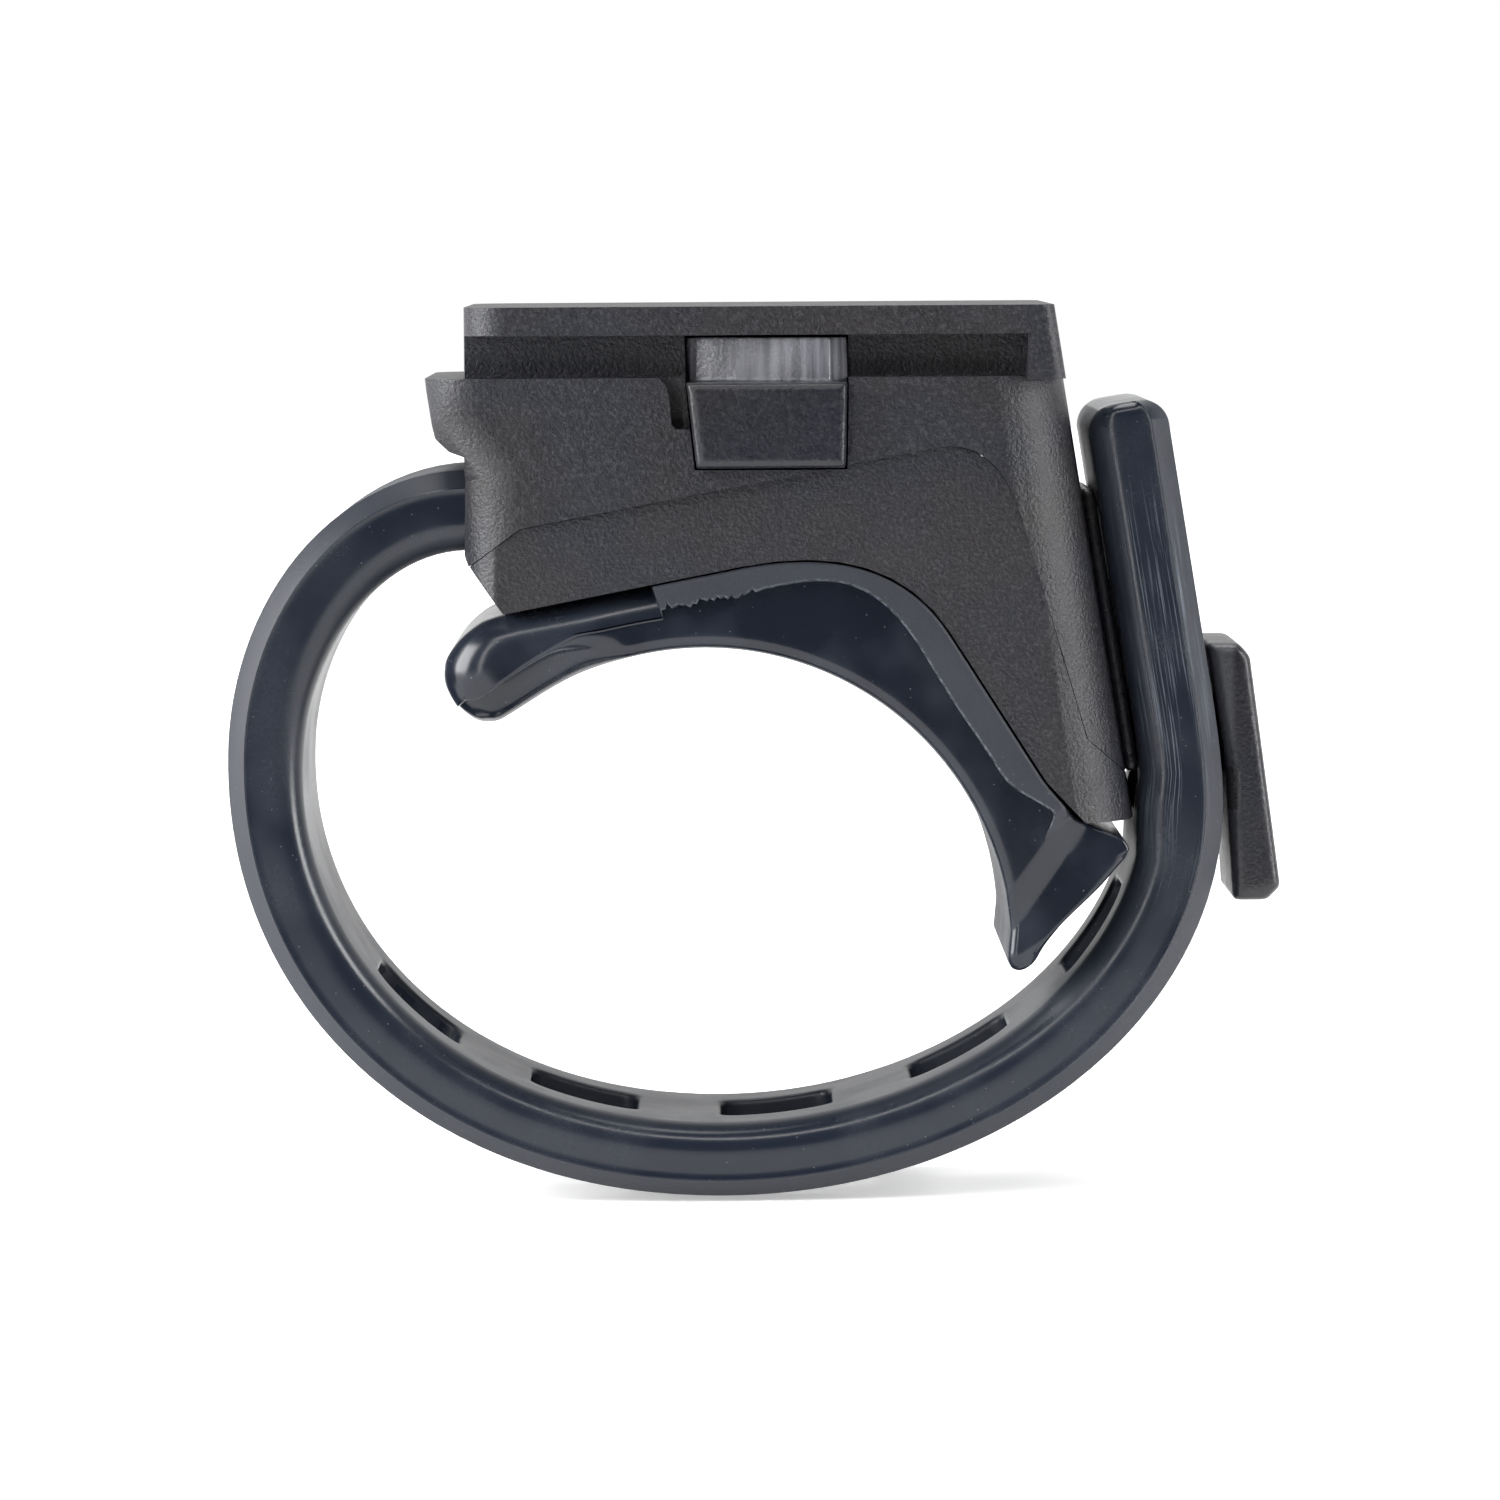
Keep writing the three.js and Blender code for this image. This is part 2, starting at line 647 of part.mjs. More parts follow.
/** A cutting box through the strap, centred at a distance along it. */
function slotAt(distance) {
  const { point, tangent } = strapAt(distance);
  const geometry = new THREE.BoxGeometry(2 * STRAP_THICKNESS, SLOT_WIDTH, SLOT_LENGTH);
  geometry.rotateY(Math.atan2(tangent.x, tangent.y));
  return solid(geometry.translate(point.x, 0, point.y));
}

const neckSlant = (STRAP_END_THICKNESS / 2 + SEAM_GAP) * Math.tan(LEG_LEAN);
const hookSlot =
  strapDistance(neckZ + NECK_HEIGHT / 2 + SEAM_GAP + neckSlant) - SLOT_LENGTH / 2;
const flexAt = hookSlot + SLOT_PITCH - SLOT_LENGTH / 2 - FLEX_RUNG;
const slotPlaces = Array.from(
  { length: SLOTS_BELOW_HOOK + 2 },
  (_, i) => hookSlot + (1 - i) * SLOT_PITCH,
);

const hookScrewZ = strapAt(slotPlaces[0]).point.y + HOOK_SCREW_RISE;

/** The strap between two distances, with its slots. */
function strapPiece(from, to, steps) {
  const half = STRAP_WIDTH / 2;
  let piece = prism(ribbon(from, to, steps), -half, half, STRAP_CHAMFER, 1);
  for (const place of slotPlaces) {
    if (place > from && place < to) piece = piece.subtract(slotAt(place));
  }
  return piece;
}

/** The strap from its root to the flex line above the hook. */
function strapLoop() {
  const eye = pinBar(PIN_DIAMETER / 2 + SCREW_GAP, far);
  return strapPiece(0, flexAt - FLEX_GAP / 2, LOOP_STEPS).subtract(eye);
}

/** The strap's free end above the flex line, its top corners rounded. */
function strapTail() {
  const from = flexAt + FLEX_GAP / 2;
  const { point, tangent, outward } = strapAt(strapLength);
  const top = point.clone().addScaledVector(tangent, -TAIL_RADIUS);
  const depth = innerDepth(strapLength);
  const inner = top.clone().addScaledVector(outward, TAIL_RADIUS - depth);
  const outer = top.clone().addScaledVector(outward, STRAP_THICKNESS / 2 - TAIL_RADIUS);
  const turn = Math.atan2(outward.y, outward.x);
  const arc = (centre, a, b) =>
    new THREE.EllipseCurve(centre.x, centre.y, TAIL_RADIUS, TAIL_RADIUS, a, b).getPoints(4);
  const low = strapAt(from);
  const outline = [
    low.point.clone().addScaledVector(low.outward, STRAP_THICKNESS / 2),
    ...arc(outer, turn, turn + Math.PI / 2),
    ...arc(inner, turn + Math.PI / 2, turn + Math.PI),
    low.point.clone().addScaledVector(low.outward, -depth),
  ];
  const side = STRAP_WIDTH / 2;
  return prism(outline, -side, side, STRAP_CHAMFER, 1).subtract(slotAt(slotPlaces[0]));
}

/** Room for the strap's root inside the housing. */
function strapRootSpace() {
  const low = rootZ - innerDepth(0) - SEAM_GAP;
  const high = rootZ + STRAP_THICKNESS / 2 + SEAM_GAP;
  return block(
    [railStartX - 2 * LIP_REACH, -STRAP_WIDTH / 2 - SEAM_GAP, low],
    [railStartX + ROOT_INSET + SEAM_GAP, STRAP_WIDTH / 2 + SEAM_GAP, high],
  );
}

/** A bar along Y through the strap's eye. */
function pinBar(radius, length) {
  return alongY(rod(radius, 0, length), railStartX + ROOT_INSET / 2, -length / 2, rootZ);
}

/** Room for the pin in the mouldings. */
function pinSpace() {
  return pinBar(PIN_DIAMETER / 2 + SCREW_GAP, pinLength + 2 * SCREW_GAP);
}

// ---------------------------------------------------------------- the hook

/** The neck with its tenon in the leg, grown by a gap. */
function tenon(gap) {
  const half = SLOT_WIDTH / 2 - SEAM_GAP + gap;
  return block(
    [legOuterX(neckZ) - TENON_DEPTH - gap, -half, neckZ - NECK_HEIGHT / 2 - gap],
    [legOuterX(neckZ) + 1, half, neckZ + NECK_HEIGHT / 2 + gap],
  );
}

/** A bar square to the leg's outer face at the hook screw, into the leg. */
function hookScrewBar(radius, depth) {
  return hookScrewSolid([
    [0, -depth],
    [radius, -depth],
    [radius, far],
    [0, far],
  ]);
}

/** A turned profile on the hook screw's axis, zero at the leg's outer face. */
function hookScrewSolid(profile) {
  const geometry = turned(profile, 16).rotateY(Math.PI / 2 - LEG_LEAN);
  return solid(geometry.translate(legOuterX(hookScrewZ), 0, hookScrewZ));
}

function hookScrew() {
  const seat = pedestalOut + SCREW_GAP;
  return hookScrewSolid([
    [0, -HOOK_SCREW_BITE],
    [SCREW_RADIUS, HOOK_SCREW_POINT - HOOK_SCREW_BITE],
    [SCREW_RADIUS, seat],
    [SCREW_HEAD_RADIUS, seat],
    [SCREW_HEAD_RADIUS, seat + HOOK_SCREW_HEAD],
    [0, seat + HOOK_SCREW_HEAD],
  ]);
}

/** Hook: pedestal on the leg, neck through the strap and the plate outside. */
function strapHook() {
  const half = HOOK_WIDTH / 2;
  const pedestalTop = hookScrewZ + SCREW_HEAD_RADIUS + PEDESTAL_MARGIN;
  const pedestalFoot = neckZ - NECK_HEIGHT / 2;
  const onLeg = (z, out) => at(outwardX(z, out), z);
  const pedestalIn = pedestalOut - PEDESTAL_THICKNESS;
  const pedestal = prism(
    [
      onLeg(pedestalTop, pedestalIn),
      onLeg(pedestalFoot, pedestalIn),
      onLeg(pedestalFoot, pedestalOut),
      onLeg(pedestalTop, pedestalOut),
    ],
    -half,
    half,
  );
  const top = neckZ + NECK_HEIGHT / 2 + HOOK_LIP;
  const foot = neckZ - NECK_HEIGHT / 2 - HOOK_TAIL;
  const insideX = (z) => outwardX(z, strapOut) + SEAM_GAP;
  const knee = neckZ - HOOK_KNEE;
  const slope = Math.tan(LEG_LEAN) * HOOK_TAPER;
  const outside = (z) => insideX(knee) + HOOK_THICKNESS - (z - knee) * slope;
  const plate = prism(
    [
      at(insideX(top) + HOOK_INSET, top),
      at(insideX(knee) + HOOK_INSET, knee),
      at(insideX(knee) + HOOK_INSET + HOOK_FLARE, foot),
      at(outside(foot) - HOOK_CORNER, foot),
      at(outside(foot), foot + HOOK_CORNER),
      at(outside(top) - HOOK_INSET, top - HOOK_CORNER),
      at(outside(top) - HOOK_CORNER, top),
    ],
    -half,
    half,
    HOOK_ROUNDING,
    2,
  );
  const neckHalfWidth = SLOT_WIDTH / 2 - SEAM_GAP;
  const neck = block(
    [legOuterX(neckZ) - TENON_DEPTH, -neckHalfWidth, neckZ - NECK_HEIGHT / 2],
    [insideX(knee) + 1, neckHalfWidth, neckZ + NECK_HEIGHT / 2],
  );
  return pedestal
    .add(neck)
    .add(plate)
    .subtract(hookScrewBar(SCREW_RADIUS + SCREW_GAP, 1));
}

// -------------------------------------------------------------- saddle pad

/** Pad under the arch: a lobe over the bar at the left, a foot at the right. */
function saddlePad() {
  const top = overTheBar(ARCH, -SEAM_GAP);
  const shin = legFootZ - SHIN_DROP;
  const foot = FOOT_CURVE.map(([out, drop]) => at(SEAT_RADIUS + out, shin - drop));
  const seatStart = THREE.MathUtils.radToDeg(Math.asin((shin - SEAT_END_DROP) / SEAT_RADIUS));
  const seat = Array.from({ length: SEAT_FACETS + 1 }, (_, i) =>
    round([THREE.MathUtils.lerp(seatStart, LOBE_ANGLE - LOBE_HEEL, i / SEAT_FACETS), 0]),
  );
  const lobe = LOBE_CURVE.map(([turn, share]) =>
    round([LOBE_ANGLE + turn, share * LOBE_THICKNESS]),
  );
  const outline = [...top, ...foot, ...seat, ...lobe];
  return prism(outline, -halfWidth, halfWidth, PAD_ROUNDING, 1);
}

// ---------------------------------------------------------------- assembly

const plastic = { color: 0x1d1d20, roughness: 0.5, metalness: 0 };
const gloss = { color: 0x1b1b1f, roughness: 0.35, metalness: 0 };
const rubber = { color: 0x14171e, roughness: 0.3, metalness: 0 };
const steel = { color: 0x9a9ca0, roughness: 0.35, metalness: 1 };

const part = new THREE.Group();

/** Puts a solid into the part as a named mesh with its own material. */
function place(name, piece, finish) {
  const { vertProperties, triVerts, numProp } = piece.getMesh();
  const positions = new Float32Array((vertProperties.length / numProp) * 3);
  for (let i = 0; i < positions.length / 3; i++) {
    positions.set(vertProperties.subarray(i * numProp, i * numProp + 3), i * 3);
  }
  const geometry = new THREE.BufferGeometry();
  geometry.setAttribute("position", new THREE.BufferAttribute(positions, 3));
  geometry.setIndex(new THREE.BufferAttribute(triVerts, 1));
  const mesh = new THREE.Mesh(geometry, new THREE.MeshStandardMaterial(finish));
  mesh.name = name;
  part.add(mesh);
}

place("upper_housing", upperHousing(), plastic);
place("lower_bracket", lowerBracket(), plastic);
place("latch_button_front", button(), gloss);
place("latch_button_rear", mirrorY(button()), gloss);
springXs.forEach((x, i) => {
  const side = ["left", "right"][i];
  place(`latch_spring_front_${side}`, spring(x), steel);
  place(`latch_spring_rear_${side}`, mirrorY(spring(x)), steel);
});
screwPlaces.forEach((where) => {
  const side = where.x < buttonX ? "left" : "right";
  const row = where.y < 0 ? "front" : "rear";
  place(`case_screw_${side}_${row}`, caseScrew(where), steel);
});
place("saddle_pad", saddlePad(), rubber);
place("strap_loop", strapLoop(), rubber);
place("strap_tail", strapTail(), rubber);
place("strap_anchor_pin", pinBar(PIN_DIAMETER / 2, pinLength), steel);
place("strap_hook", strapHook(), plastic);
place("hook_screw", hookScrew(), steel);

export default part;
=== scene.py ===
"""Looks of a strap-on handlebar bracket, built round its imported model.

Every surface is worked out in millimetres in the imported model's own frame and is
turned to metres when its mesh is made: +X to the strap hook, +Y along the bar, +Z up
to the rail, with the origin on the bar's axis.
"""

import logging
import math
from dataclasses import dataclass, field
from enum import Enum
from typing import Optional, Sequence, Union

import bmesh
import bpy
import numpy as np
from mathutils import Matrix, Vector


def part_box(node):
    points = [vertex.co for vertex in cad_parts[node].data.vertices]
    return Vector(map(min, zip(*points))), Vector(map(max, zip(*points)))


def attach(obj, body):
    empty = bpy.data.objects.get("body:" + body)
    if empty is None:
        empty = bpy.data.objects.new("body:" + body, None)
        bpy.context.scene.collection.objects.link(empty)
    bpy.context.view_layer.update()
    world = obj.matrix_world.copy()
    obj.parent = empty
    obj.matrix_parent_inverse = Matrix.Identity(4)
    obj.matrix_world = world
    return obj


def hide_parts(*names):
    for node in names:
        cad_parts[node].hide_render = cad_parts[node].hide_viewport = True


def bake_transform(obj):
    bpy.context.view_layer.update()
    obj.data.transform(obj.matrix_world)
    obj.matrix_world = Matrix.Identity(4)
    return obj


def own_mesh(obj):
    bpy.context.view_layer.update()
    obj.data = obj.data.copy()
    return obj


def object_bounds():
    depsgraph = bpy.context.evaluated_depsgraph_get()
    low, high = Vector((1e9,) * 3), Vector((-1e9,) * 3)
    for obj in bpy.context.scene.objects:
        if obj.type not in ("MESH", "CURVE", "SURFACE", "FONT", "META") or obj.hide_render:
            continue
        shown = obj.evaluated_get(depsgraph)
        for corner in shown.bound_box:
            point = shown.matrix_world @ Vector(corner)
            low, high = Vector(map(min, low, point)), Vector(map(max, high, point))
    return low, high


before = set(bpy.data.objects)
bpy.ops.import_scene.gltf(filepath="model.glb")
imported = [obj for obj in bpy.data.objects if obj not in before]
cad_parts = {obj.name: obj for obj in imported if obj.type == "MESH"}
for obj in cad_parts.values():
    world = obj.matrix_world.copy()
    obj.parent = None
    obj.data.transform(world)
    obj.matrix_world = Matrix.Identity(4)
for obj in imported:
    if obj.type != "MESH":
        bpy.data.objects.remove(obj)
CAD_BOX = [list(corner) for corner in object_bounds()]

log = logging.getLogger("bracket")

MM = 0.001
WELD = 0.002  # points closer than this, in mm, are one

SEAT_RADIUS = 16.15  # saddle's seat round the bar
HALF_WIDTH = 11.0  # body's and pad's half width along the bar


def box_mm(node: str) -> tuple[np.ndarray, np.ndarray]:
    """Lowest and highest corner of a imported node, in millimetres."""
    low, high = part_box(node)
    return np.array(low) / MM, np.array(high) / MM


# ------------------------------------------------------------------- shader maths


class Value:
    """A number in a shader. Operators on it add Math nodes."""

    def __init__(self, graph: "Graph", socket: bpy.types.NodeSocket) -> None:
        """Wraps an output socket of a graph."""
        self.graph = graph
        self.socket = socket

    def _math(self, operation: str, *operands: "Number") -> "Value":
        """Adds one Math node on these operands."""
        return self.graph.math(operation, *operands)

    def __add__(self, other: "Number") -> "Value":
        """Sum."""
        return self._math("ADD", self, other)

    def __sub__(self, other: "Number") -> "Value":
        """Difference."""
        return self._math("SUBTRACT", self, other)

    def __rsub__(self, other: "Number") -> "Value":
        """Difference from a number."""
        return self._math("SUBTRACT", other, self)

    def __mul__(self, other: "Number") -> "Value":
        """Product."""
        return self._math("MULTIPLY", self, other)

    __radd__ = __add__
    __rmul__ = __mul__

    def step(self, low: float, high: float) -> "Value":
        """Smooth rise from 0 at low to 1 at high, or fall where low is above high."""
        if low > high:
            return 1 - self.step(high, low)
        node = self.graph.node(
            "ShaderNodeMapRange",
            {"interpolation_type": "SMOOTHSTEP"},
            {"Value": self, "From Min": low, "From Max": high},
        )
        return Value(self.graph, node.outputs["Result"])


Number = Union[Value, float]
Colour = tuple[float, float, float]
Place = tuple[float, float, float]


class Graph:
    """The nodes of one material."""

    def __init__(self, name: str) -> None:
        """Makes an empty material of that name."""
        self.material = bpy.data.materials.new(name)
        self.material.use_nodes = True
        self.tree = self.material.node_tree
        self.tree.nodes.clear()

    def node(self, kind: str, settings: dict, sockets: dict) -> bpy.types.Node:
        """Adds a node.

        Args:
            kind: The node's type.
            settings: Its properties, set before its sockets.
            sockets: Values or links, by socket name or index.

        Returns:
            The node.
        """
        made = self.tree.nodes.new(kind)
        for name, value in settings.items():
            setattr(made, name, value)
        for key, value in sockets.items():
            self.feed(made.inputs[key], value)
        return made

    def feed(self, socket: bpy.types.NodeSocket, value: object) -> None:
        """Links a socket to a value, or sets it."""
        if isinstance(value, Value):
            self.tree.links.new(value.socket, socket)
        elif isinstance(value, bpy.types.NodeSocket):
            self.tree.links.new(value, socket)
        elif isinstance(value, tuple) and len(value) == 3 and socket.type == "RGBA":
            socket.default_value = (*value, 1.0)
        else:
            socket.default_value = value

    def math(self, operation: str, *operands: Number) -> Value:
        """Adds a Math node on two operands."""
        node = self.node("ShaderNodeMath", {"operation": operation}, dict(enumerate(operands)))
        return Value(self, node.outputs[0])

    def place(self) -> bpy.types.NodeSocket:
        """Object coordinates."""
        return self.node("ShaderNodeTexCoord", {}, {}).outputs["Object"]

    def surface_place(self) -> bpy.types.NodeSocket:
        """The piece's own UV coordinates."""
        return self.node("ShaderNodeTexCoord", {}, {}).outputs["UV"]

    def axis(self, name: str) -> Value:
        """One axis of the object coordinates, in metres."""
        node = self.node("ShaderNodeSeparateXYZ", {}, {"Vector": self.place()})
        return Value(self, node.outputs[name])

    def within(self, name: str, low: float, high: float, soft: float = 0.15) -> Value:
        """1 between two places on an axis, in millimetres, with soft ends."""
        place = self.axis(name)
        rise = place.step((low - soft) * MM, (low + soft) * MM)
        return rise * place.step((high + soft) * MM, (high - soft) * MM)

    def stretched(self, vector: bpy.types.NodeSocket, scale: Colour) -> bpy.types.NodeSocket:
        """Coordinates multiplied by a scale for each axis."""
        node = self.node("ShaderNodeVectorMath", {"operation": "MULTIPLY"}, {0: vector, 1: scale})
        return node.outputs[0]

    def noise(
        self, vector: bpy.types.NodeSocket, size: float, detail: float = 2.0, rough: float = 0.5
    ) -> Value:
        """Noise whose features are about size millimetres across."""
        node = self.node(
            "ShaderNodeTexNoise",
            {},
            {"Vector": vector, "Scale": 1 / (size * MM), "Detail": detail, "Roughness": rough},
        )
        return Value(self, node.outputs["Fac"])

    def cells(self, vector: bpy.types.NodeSocket, size: float) -> Value:
        """Distance to the nearest of scattered points, size millimetres apart."""
        node = self.node(
            "ShaderNodeTexVoronoi", {}, {"Vector": vector, "Scale": 1 / (size * MM)}
        )
        return Value(self, node.outputs["Distance"])

    def mix(self, factor: Number, first: object, second: object) -> bpy.types.NodeSocket:
        """One colour going over to another with a factor."""
        node = self.node(
            "ShaderNodeMix", {"data_type": "RGBA"}, {0: factor, 6: first, 7: second}
        )
        return node.outputs[2]

    def bump(self, height: Value, depth: float) -> bpy.types.NodeSocket:
        """A normal from a height of 0 to 1 that stands for depth millimetres."""
        sockets = {"Height": height, "Distance": depth * MM, "Strength": 1.0}
        return self.node("ShaderNodeBump", {}, sockets).outputs[0]

    def finish(self, **sockets: object) -> bpy.types.Material:
        """Closes the material with a Principled shader on these sockets."""
        named = {name.replace("_", " "): value for name, value in sockets.items()}
        shader = self.node("ShaderNodeBsdfPrincipled", {}, named)
        self.node("ShaderNodeOutputMaterial", {}, {"Surface": shader.outputs[0]})
        return self.material


# ----------------------------------------------------------------------- finishes


class Finish:
    """A finish makes its material once and hands the same one out after that."""

    name: str

    def nodes(self, graph: Graph) -> bpy.types.Material:
        """Builds the finish's nodes in a graph."""
        raise NotImplementedError

    def material(self) -> bpy.types.Material:
        """The finish's material."""
        found = bpy.data.materials.get(self.name)
        return found if found else self.nodes(Graph(self.name))


@dataclass(frozen=True)
class MouldedPlastic(Finish):
    """Black glass-filled moulding with a fine spark-eroded grain."""

    name: str
    cool: Colour = (0.0075, 0.008, 0.0125)
    warm: Colour = (0.0105, 0.009, 0.0105)
    roughness: float = 0.40
    grain_size: float = 0.2
    grain_depth: float = 0.07
    tips: float = 0.5  # how far the grain's tips and pits stand out in the colour
    patch_size: float = 7.0
    speck_spacing: float = 1.1

    def nodes(self, graph: Graph) -> bpy.types.Material:
        """Grain in the bump and roughness, with warm and cool patches and dust."""
        place = graph.place()
        grain = graph.noise(place, self.grain_size, 3.0, 0.6)
        patches = graph.noise(place, self.patch_size, 2.0).step(0.38, 0.62)
        rubbed = graph.noise(place, 2.4, 3.0).step(0.45, 0.75)
        dust = 1 - graph.cells(place, self.speck_spacing).step(0.02, 0.05)
        colour = graph.mix(patches, self.cool, self.warm)
        colour = graph.mix(grain.step(0.52, 0.68) * self.tips, colour, (0.034, 0.034, 0.041))
        colour = graph.mix(grain.step(0.48, 0.34) * self.tips, colour, (0.004, 0.004, 0.005))
        colour = graph.mix(dust * 0.35, colour, (0.10, 0.10, 0.11))
        roughness = self.roughness + (grain - 0.5) * 0.3 + rubbed * 0.06
        colour, roughness, grain = self.zones(graph, colour, roughness, grain)
        return graph.finish(
            Base_Color=colour,
            Roughness=roughness,
            IOR=1.44,
            Normal=graph.bump(grain, self.grain_depth),
        )

    def zones(
        self, graph: Graph, colour: object, roughness: Value, height: Value
    ) -> tuple[object, Value, Value]:
        """Changes the parts of a piece that differ from the rest: none on a plain one."""
        return colour, roughness, height


@dataclass(frozen=True)
class TongueHighlightPlastic(MouldedPlastic):
    """The button's moulding, with a painted highlight on its tongue and a smoother finish where the
    accessory's shoe rubs it.
    """

    tongue: tuple[float, float] = (30.2, 40.0)
    # colour of the painted highlight on the tongue
    painted_highlight: Colour = (0.15, 0.152, 0.17)

    def zones(
        self, graph: Graph, colour: object, roughness: Value, height: Value
    ) -> tuple[object, Value, Value]:
        """A painted highlight on the tongue above the cap, with streaks across it, and a smoother
        finish there.
        """
        across = graph.stretched(graph.place(), (1.0, 1.0, 0.08))
        streaks = graph.noise(across, 0.5, 3.0, 0.6).step(0.25, 0.7)
        rubbed = graph.within("Z", *self.tongue)
        # painted highlight: the tongue is lightened, most along the streaks
        colour = graph.mix(rubbed * (0.35 + streaks * 0.65), colour, self.painted_highlight)
        return colour, roughness - rubbed * 0.12, height


@dataclass(frozen=True)
class GatedPlastic(MouldedPlastic):
    """The hook's moulding, with a sheared gate on its front edge."""

    gate_x: tuple[float, float] = (27.1, 28.6)
    gate_z: tuple[float, float] = (7.0, 9.3)
    # where the painted highlight strip runs across the hook's face
    highlight_x: tuple[float, float] = (26.0, 28.3)
    # colour of the painted highlight strip
    painted_highlight: Colour = (0.042, 0.043, 0.05)

    def zones(
        self, graph: Graph, colour: object, roughness: Value, height: Value
    ) -> tuple[object, Value, Value]:
        """A rough dark patch at the gate and a painted highlight strip beside the strap."""
        front = graph.within("Y", -20.0, -5.0)
        gate = graph.within("X", *self.gate_x) * graph.within("Z", *self.gate_z) * front
        strip = graph.within("X", *self.highlight_x, 0.25) * front * (1 - gate)
        torn = graph.noise(graph.place(), 0.35, 3.0, 0.7)
        # painted highlight: a lighter strip down the hook's face beside the strap
        colour = graph.mix(strip * 0.8, colour, self.painted_highlight)
        colour = graph.mix(gate * torn.step(0.35, 0.6), colour, (0.004, 0.004, 0.005))
        return colour, roughness + gate * 0.35, height + gate * torn * 6.0


@dataclass(frozen=True)
class Rubber(Finish):
    """Blue-black rubber: a low sheen, fine dust and, where it rubs, long scuffs."""

    name: str
    colour: Colour = (0.0085, 0.0115, 0.019)
    light: Colour = (0.014, 0.0175, 0.026)
    bloom: Colour = (0.019, 0.021, 0.028)
    roughness: float = 0.24
    matte_roughness: float = 0.5
    speck_spacing: float = 0.62
    skin_depth: float = 0.0045
    scuffed: bool = False

    def nodes(self, graph: Graph) -> bpy.types.Material:
        """Slow ripples and skin in the bump, specks of dust and scuffs in the colour."""
        place = graph.place()
        skin = graph.noise(place, 0.28, 3.0, 0.6)
        ripple = graph.noise(place, 3.5, 1.0)
        cloud = graph.noise(place, 5.0, 2.0).step(0.4, 0.7)
        size = graph.noise(place, 1.7, 1.0).step(0.35, 0.65)
        dust = 1 - (graph.cells(place, self.speck_spacing) - size * 0.02).step(0.03, 0.06)
        colour = graph.mix(cloud, self.colour, self.light)
        roughness = self.roughness + skin * 0.10 + cloud * 0.07
        height = skin * 0.35 + ripple * 2.0
        matte = self.marked(graph, "matte")
        grain = graph.noise(place, 0.16, 2.0)
        roughness = roughness + matte * (self.matte_roughness - self.roughness)
        height = height + matte * grain * 3.0
        colour = graph.mix(matte * (0.4 + grain * 0.6), colour, self.bloom)
        wear_and_highlight = self.marked(graph, "wear_and_highlight")
        if not self.scuffed:
            # on the pad: lighter chips along the flange's lower edge, scuffs that are partly a
            # painted highlight on that edge
            chips_and_highlight = graph.noise(place, 0.22, 3.0, 0.7).step(0.42, 0.62)
            colour = graph.mix(wear_and_highlight * chips_and_highlight * 0.8, colour, (0.11, 0.12, 0.14))
            roughness = roughness + wear_and_highlight * chips_and_highlight * 0.3
        if self.scuffed:
            scuffs = self.scuffs(graph) * wear_and_highlight
            colour = graph.mix(scuffs * 0.85, colour, (0.085, 0.10, 0.125))
            roughness = roughness + scuffs * 0.2
            height = height + scuffs * 0.5
        colour = graph.mix(dust * 0.55, colour, (0.13, 0.14, 0.16))
        return graph.finish(
            Base_Color=colour,
            Roughness=roughness + dust * 0.08,
            IOR=1.42,
            Normal=graph.bump(height, self.skin_depth),
        )

    def scuffs(self, graph: Graph) -> Value:
        """Streaks along the piece."""
        along = graph.stretched(graph.surface_place(), (0.014, 1.0, 1.0))
        band = graph.noise(graph.stretched(graph.surface_place(), (0.1, 1.0, 1.0)), 1.1, 1.0)
        return graph.noise(along, 0.085, 3.0, 0.6).step(0.5, 0.66) * band.step(0.35, 0.6)

    @staticmethod
    def marked(graph: Graph, name: str) -> Value:
        """How far a mesh attribute marks each point."""
        node = graph.node("ShaderNodeAttribute", {"attribute_name": name}, {})
        return Value(graph, node.outputs["Fac"])


@dataclass(frozen=True)
class Steel(Finish):
    """Zinc-plated or drawn steel with fine turning marks."""

    name: str
    colour: Colour = (0.50, 0.51, 0.53)
    roughness: float = 0.28

    def nodes(self, graph: Graph) -> bpy.types.Material:
        """Marks round the piece and a faint bloom in the plating."""
        place = graph.place()
        marks = graph.noise(graph.stretched(place, (1.0, 1.0, 4.0)), 0.3, 3.0)
        bloom = graph.noise(place, 1.2, 2.0).step(0.4, 0.7)
        colour = graph.mix(bloom * 0.5, self.colour, (0.36, 0.35, 0.33))
        return graph.finish(
            Base_Color=colour,
            Metallic=1.0,
            Roughness=self.roughness + marks * 0.2,
            Normal=graph.bump(marks, 0.004),
        )


class Slot(Enum):
    """The material slots."""

    BODY = "body_plastic"
    BUTTON = "button_plastic"
    HOOK = "hook_plastic"
    PAD = "pad_rubber"
    STRAP = "strap_rubber"
    SPRING = "spring_steel"
    SCREW = "screw_steel"


FINISHES: dict[Slot, Finish] = {
    Slot.BODY: MouldedPlastic("body moulding"),
    Slot.BUTTON: TongueHighlightPlastic(
        "button moulding", cool=(0.008, 0.009, 0.0135), warm=(0.0095, 0.0095, 0.012),
        roughness=0.34, grain_depth=0.035, tips=0.2,
    ),
    Slot.HOOK: GatedPlastic("hook moulding", roughness=0.33, grain_depth=0.03, tips=0.25),
    Slot.PAD: Rubber("pad rubber", roughness=0.14, colour=(0.006, 0.008, 0.0135)),
    Slot.STRAP: Rubber("strap rubber", roughness=0.16, scuffed=True),
    Slot.SPRING: Steel("spring wire", roughness=0.2),
    Slot.SCREW: Steel("plated screws"),
}


# ------------------------------------------------------------------------- meshes


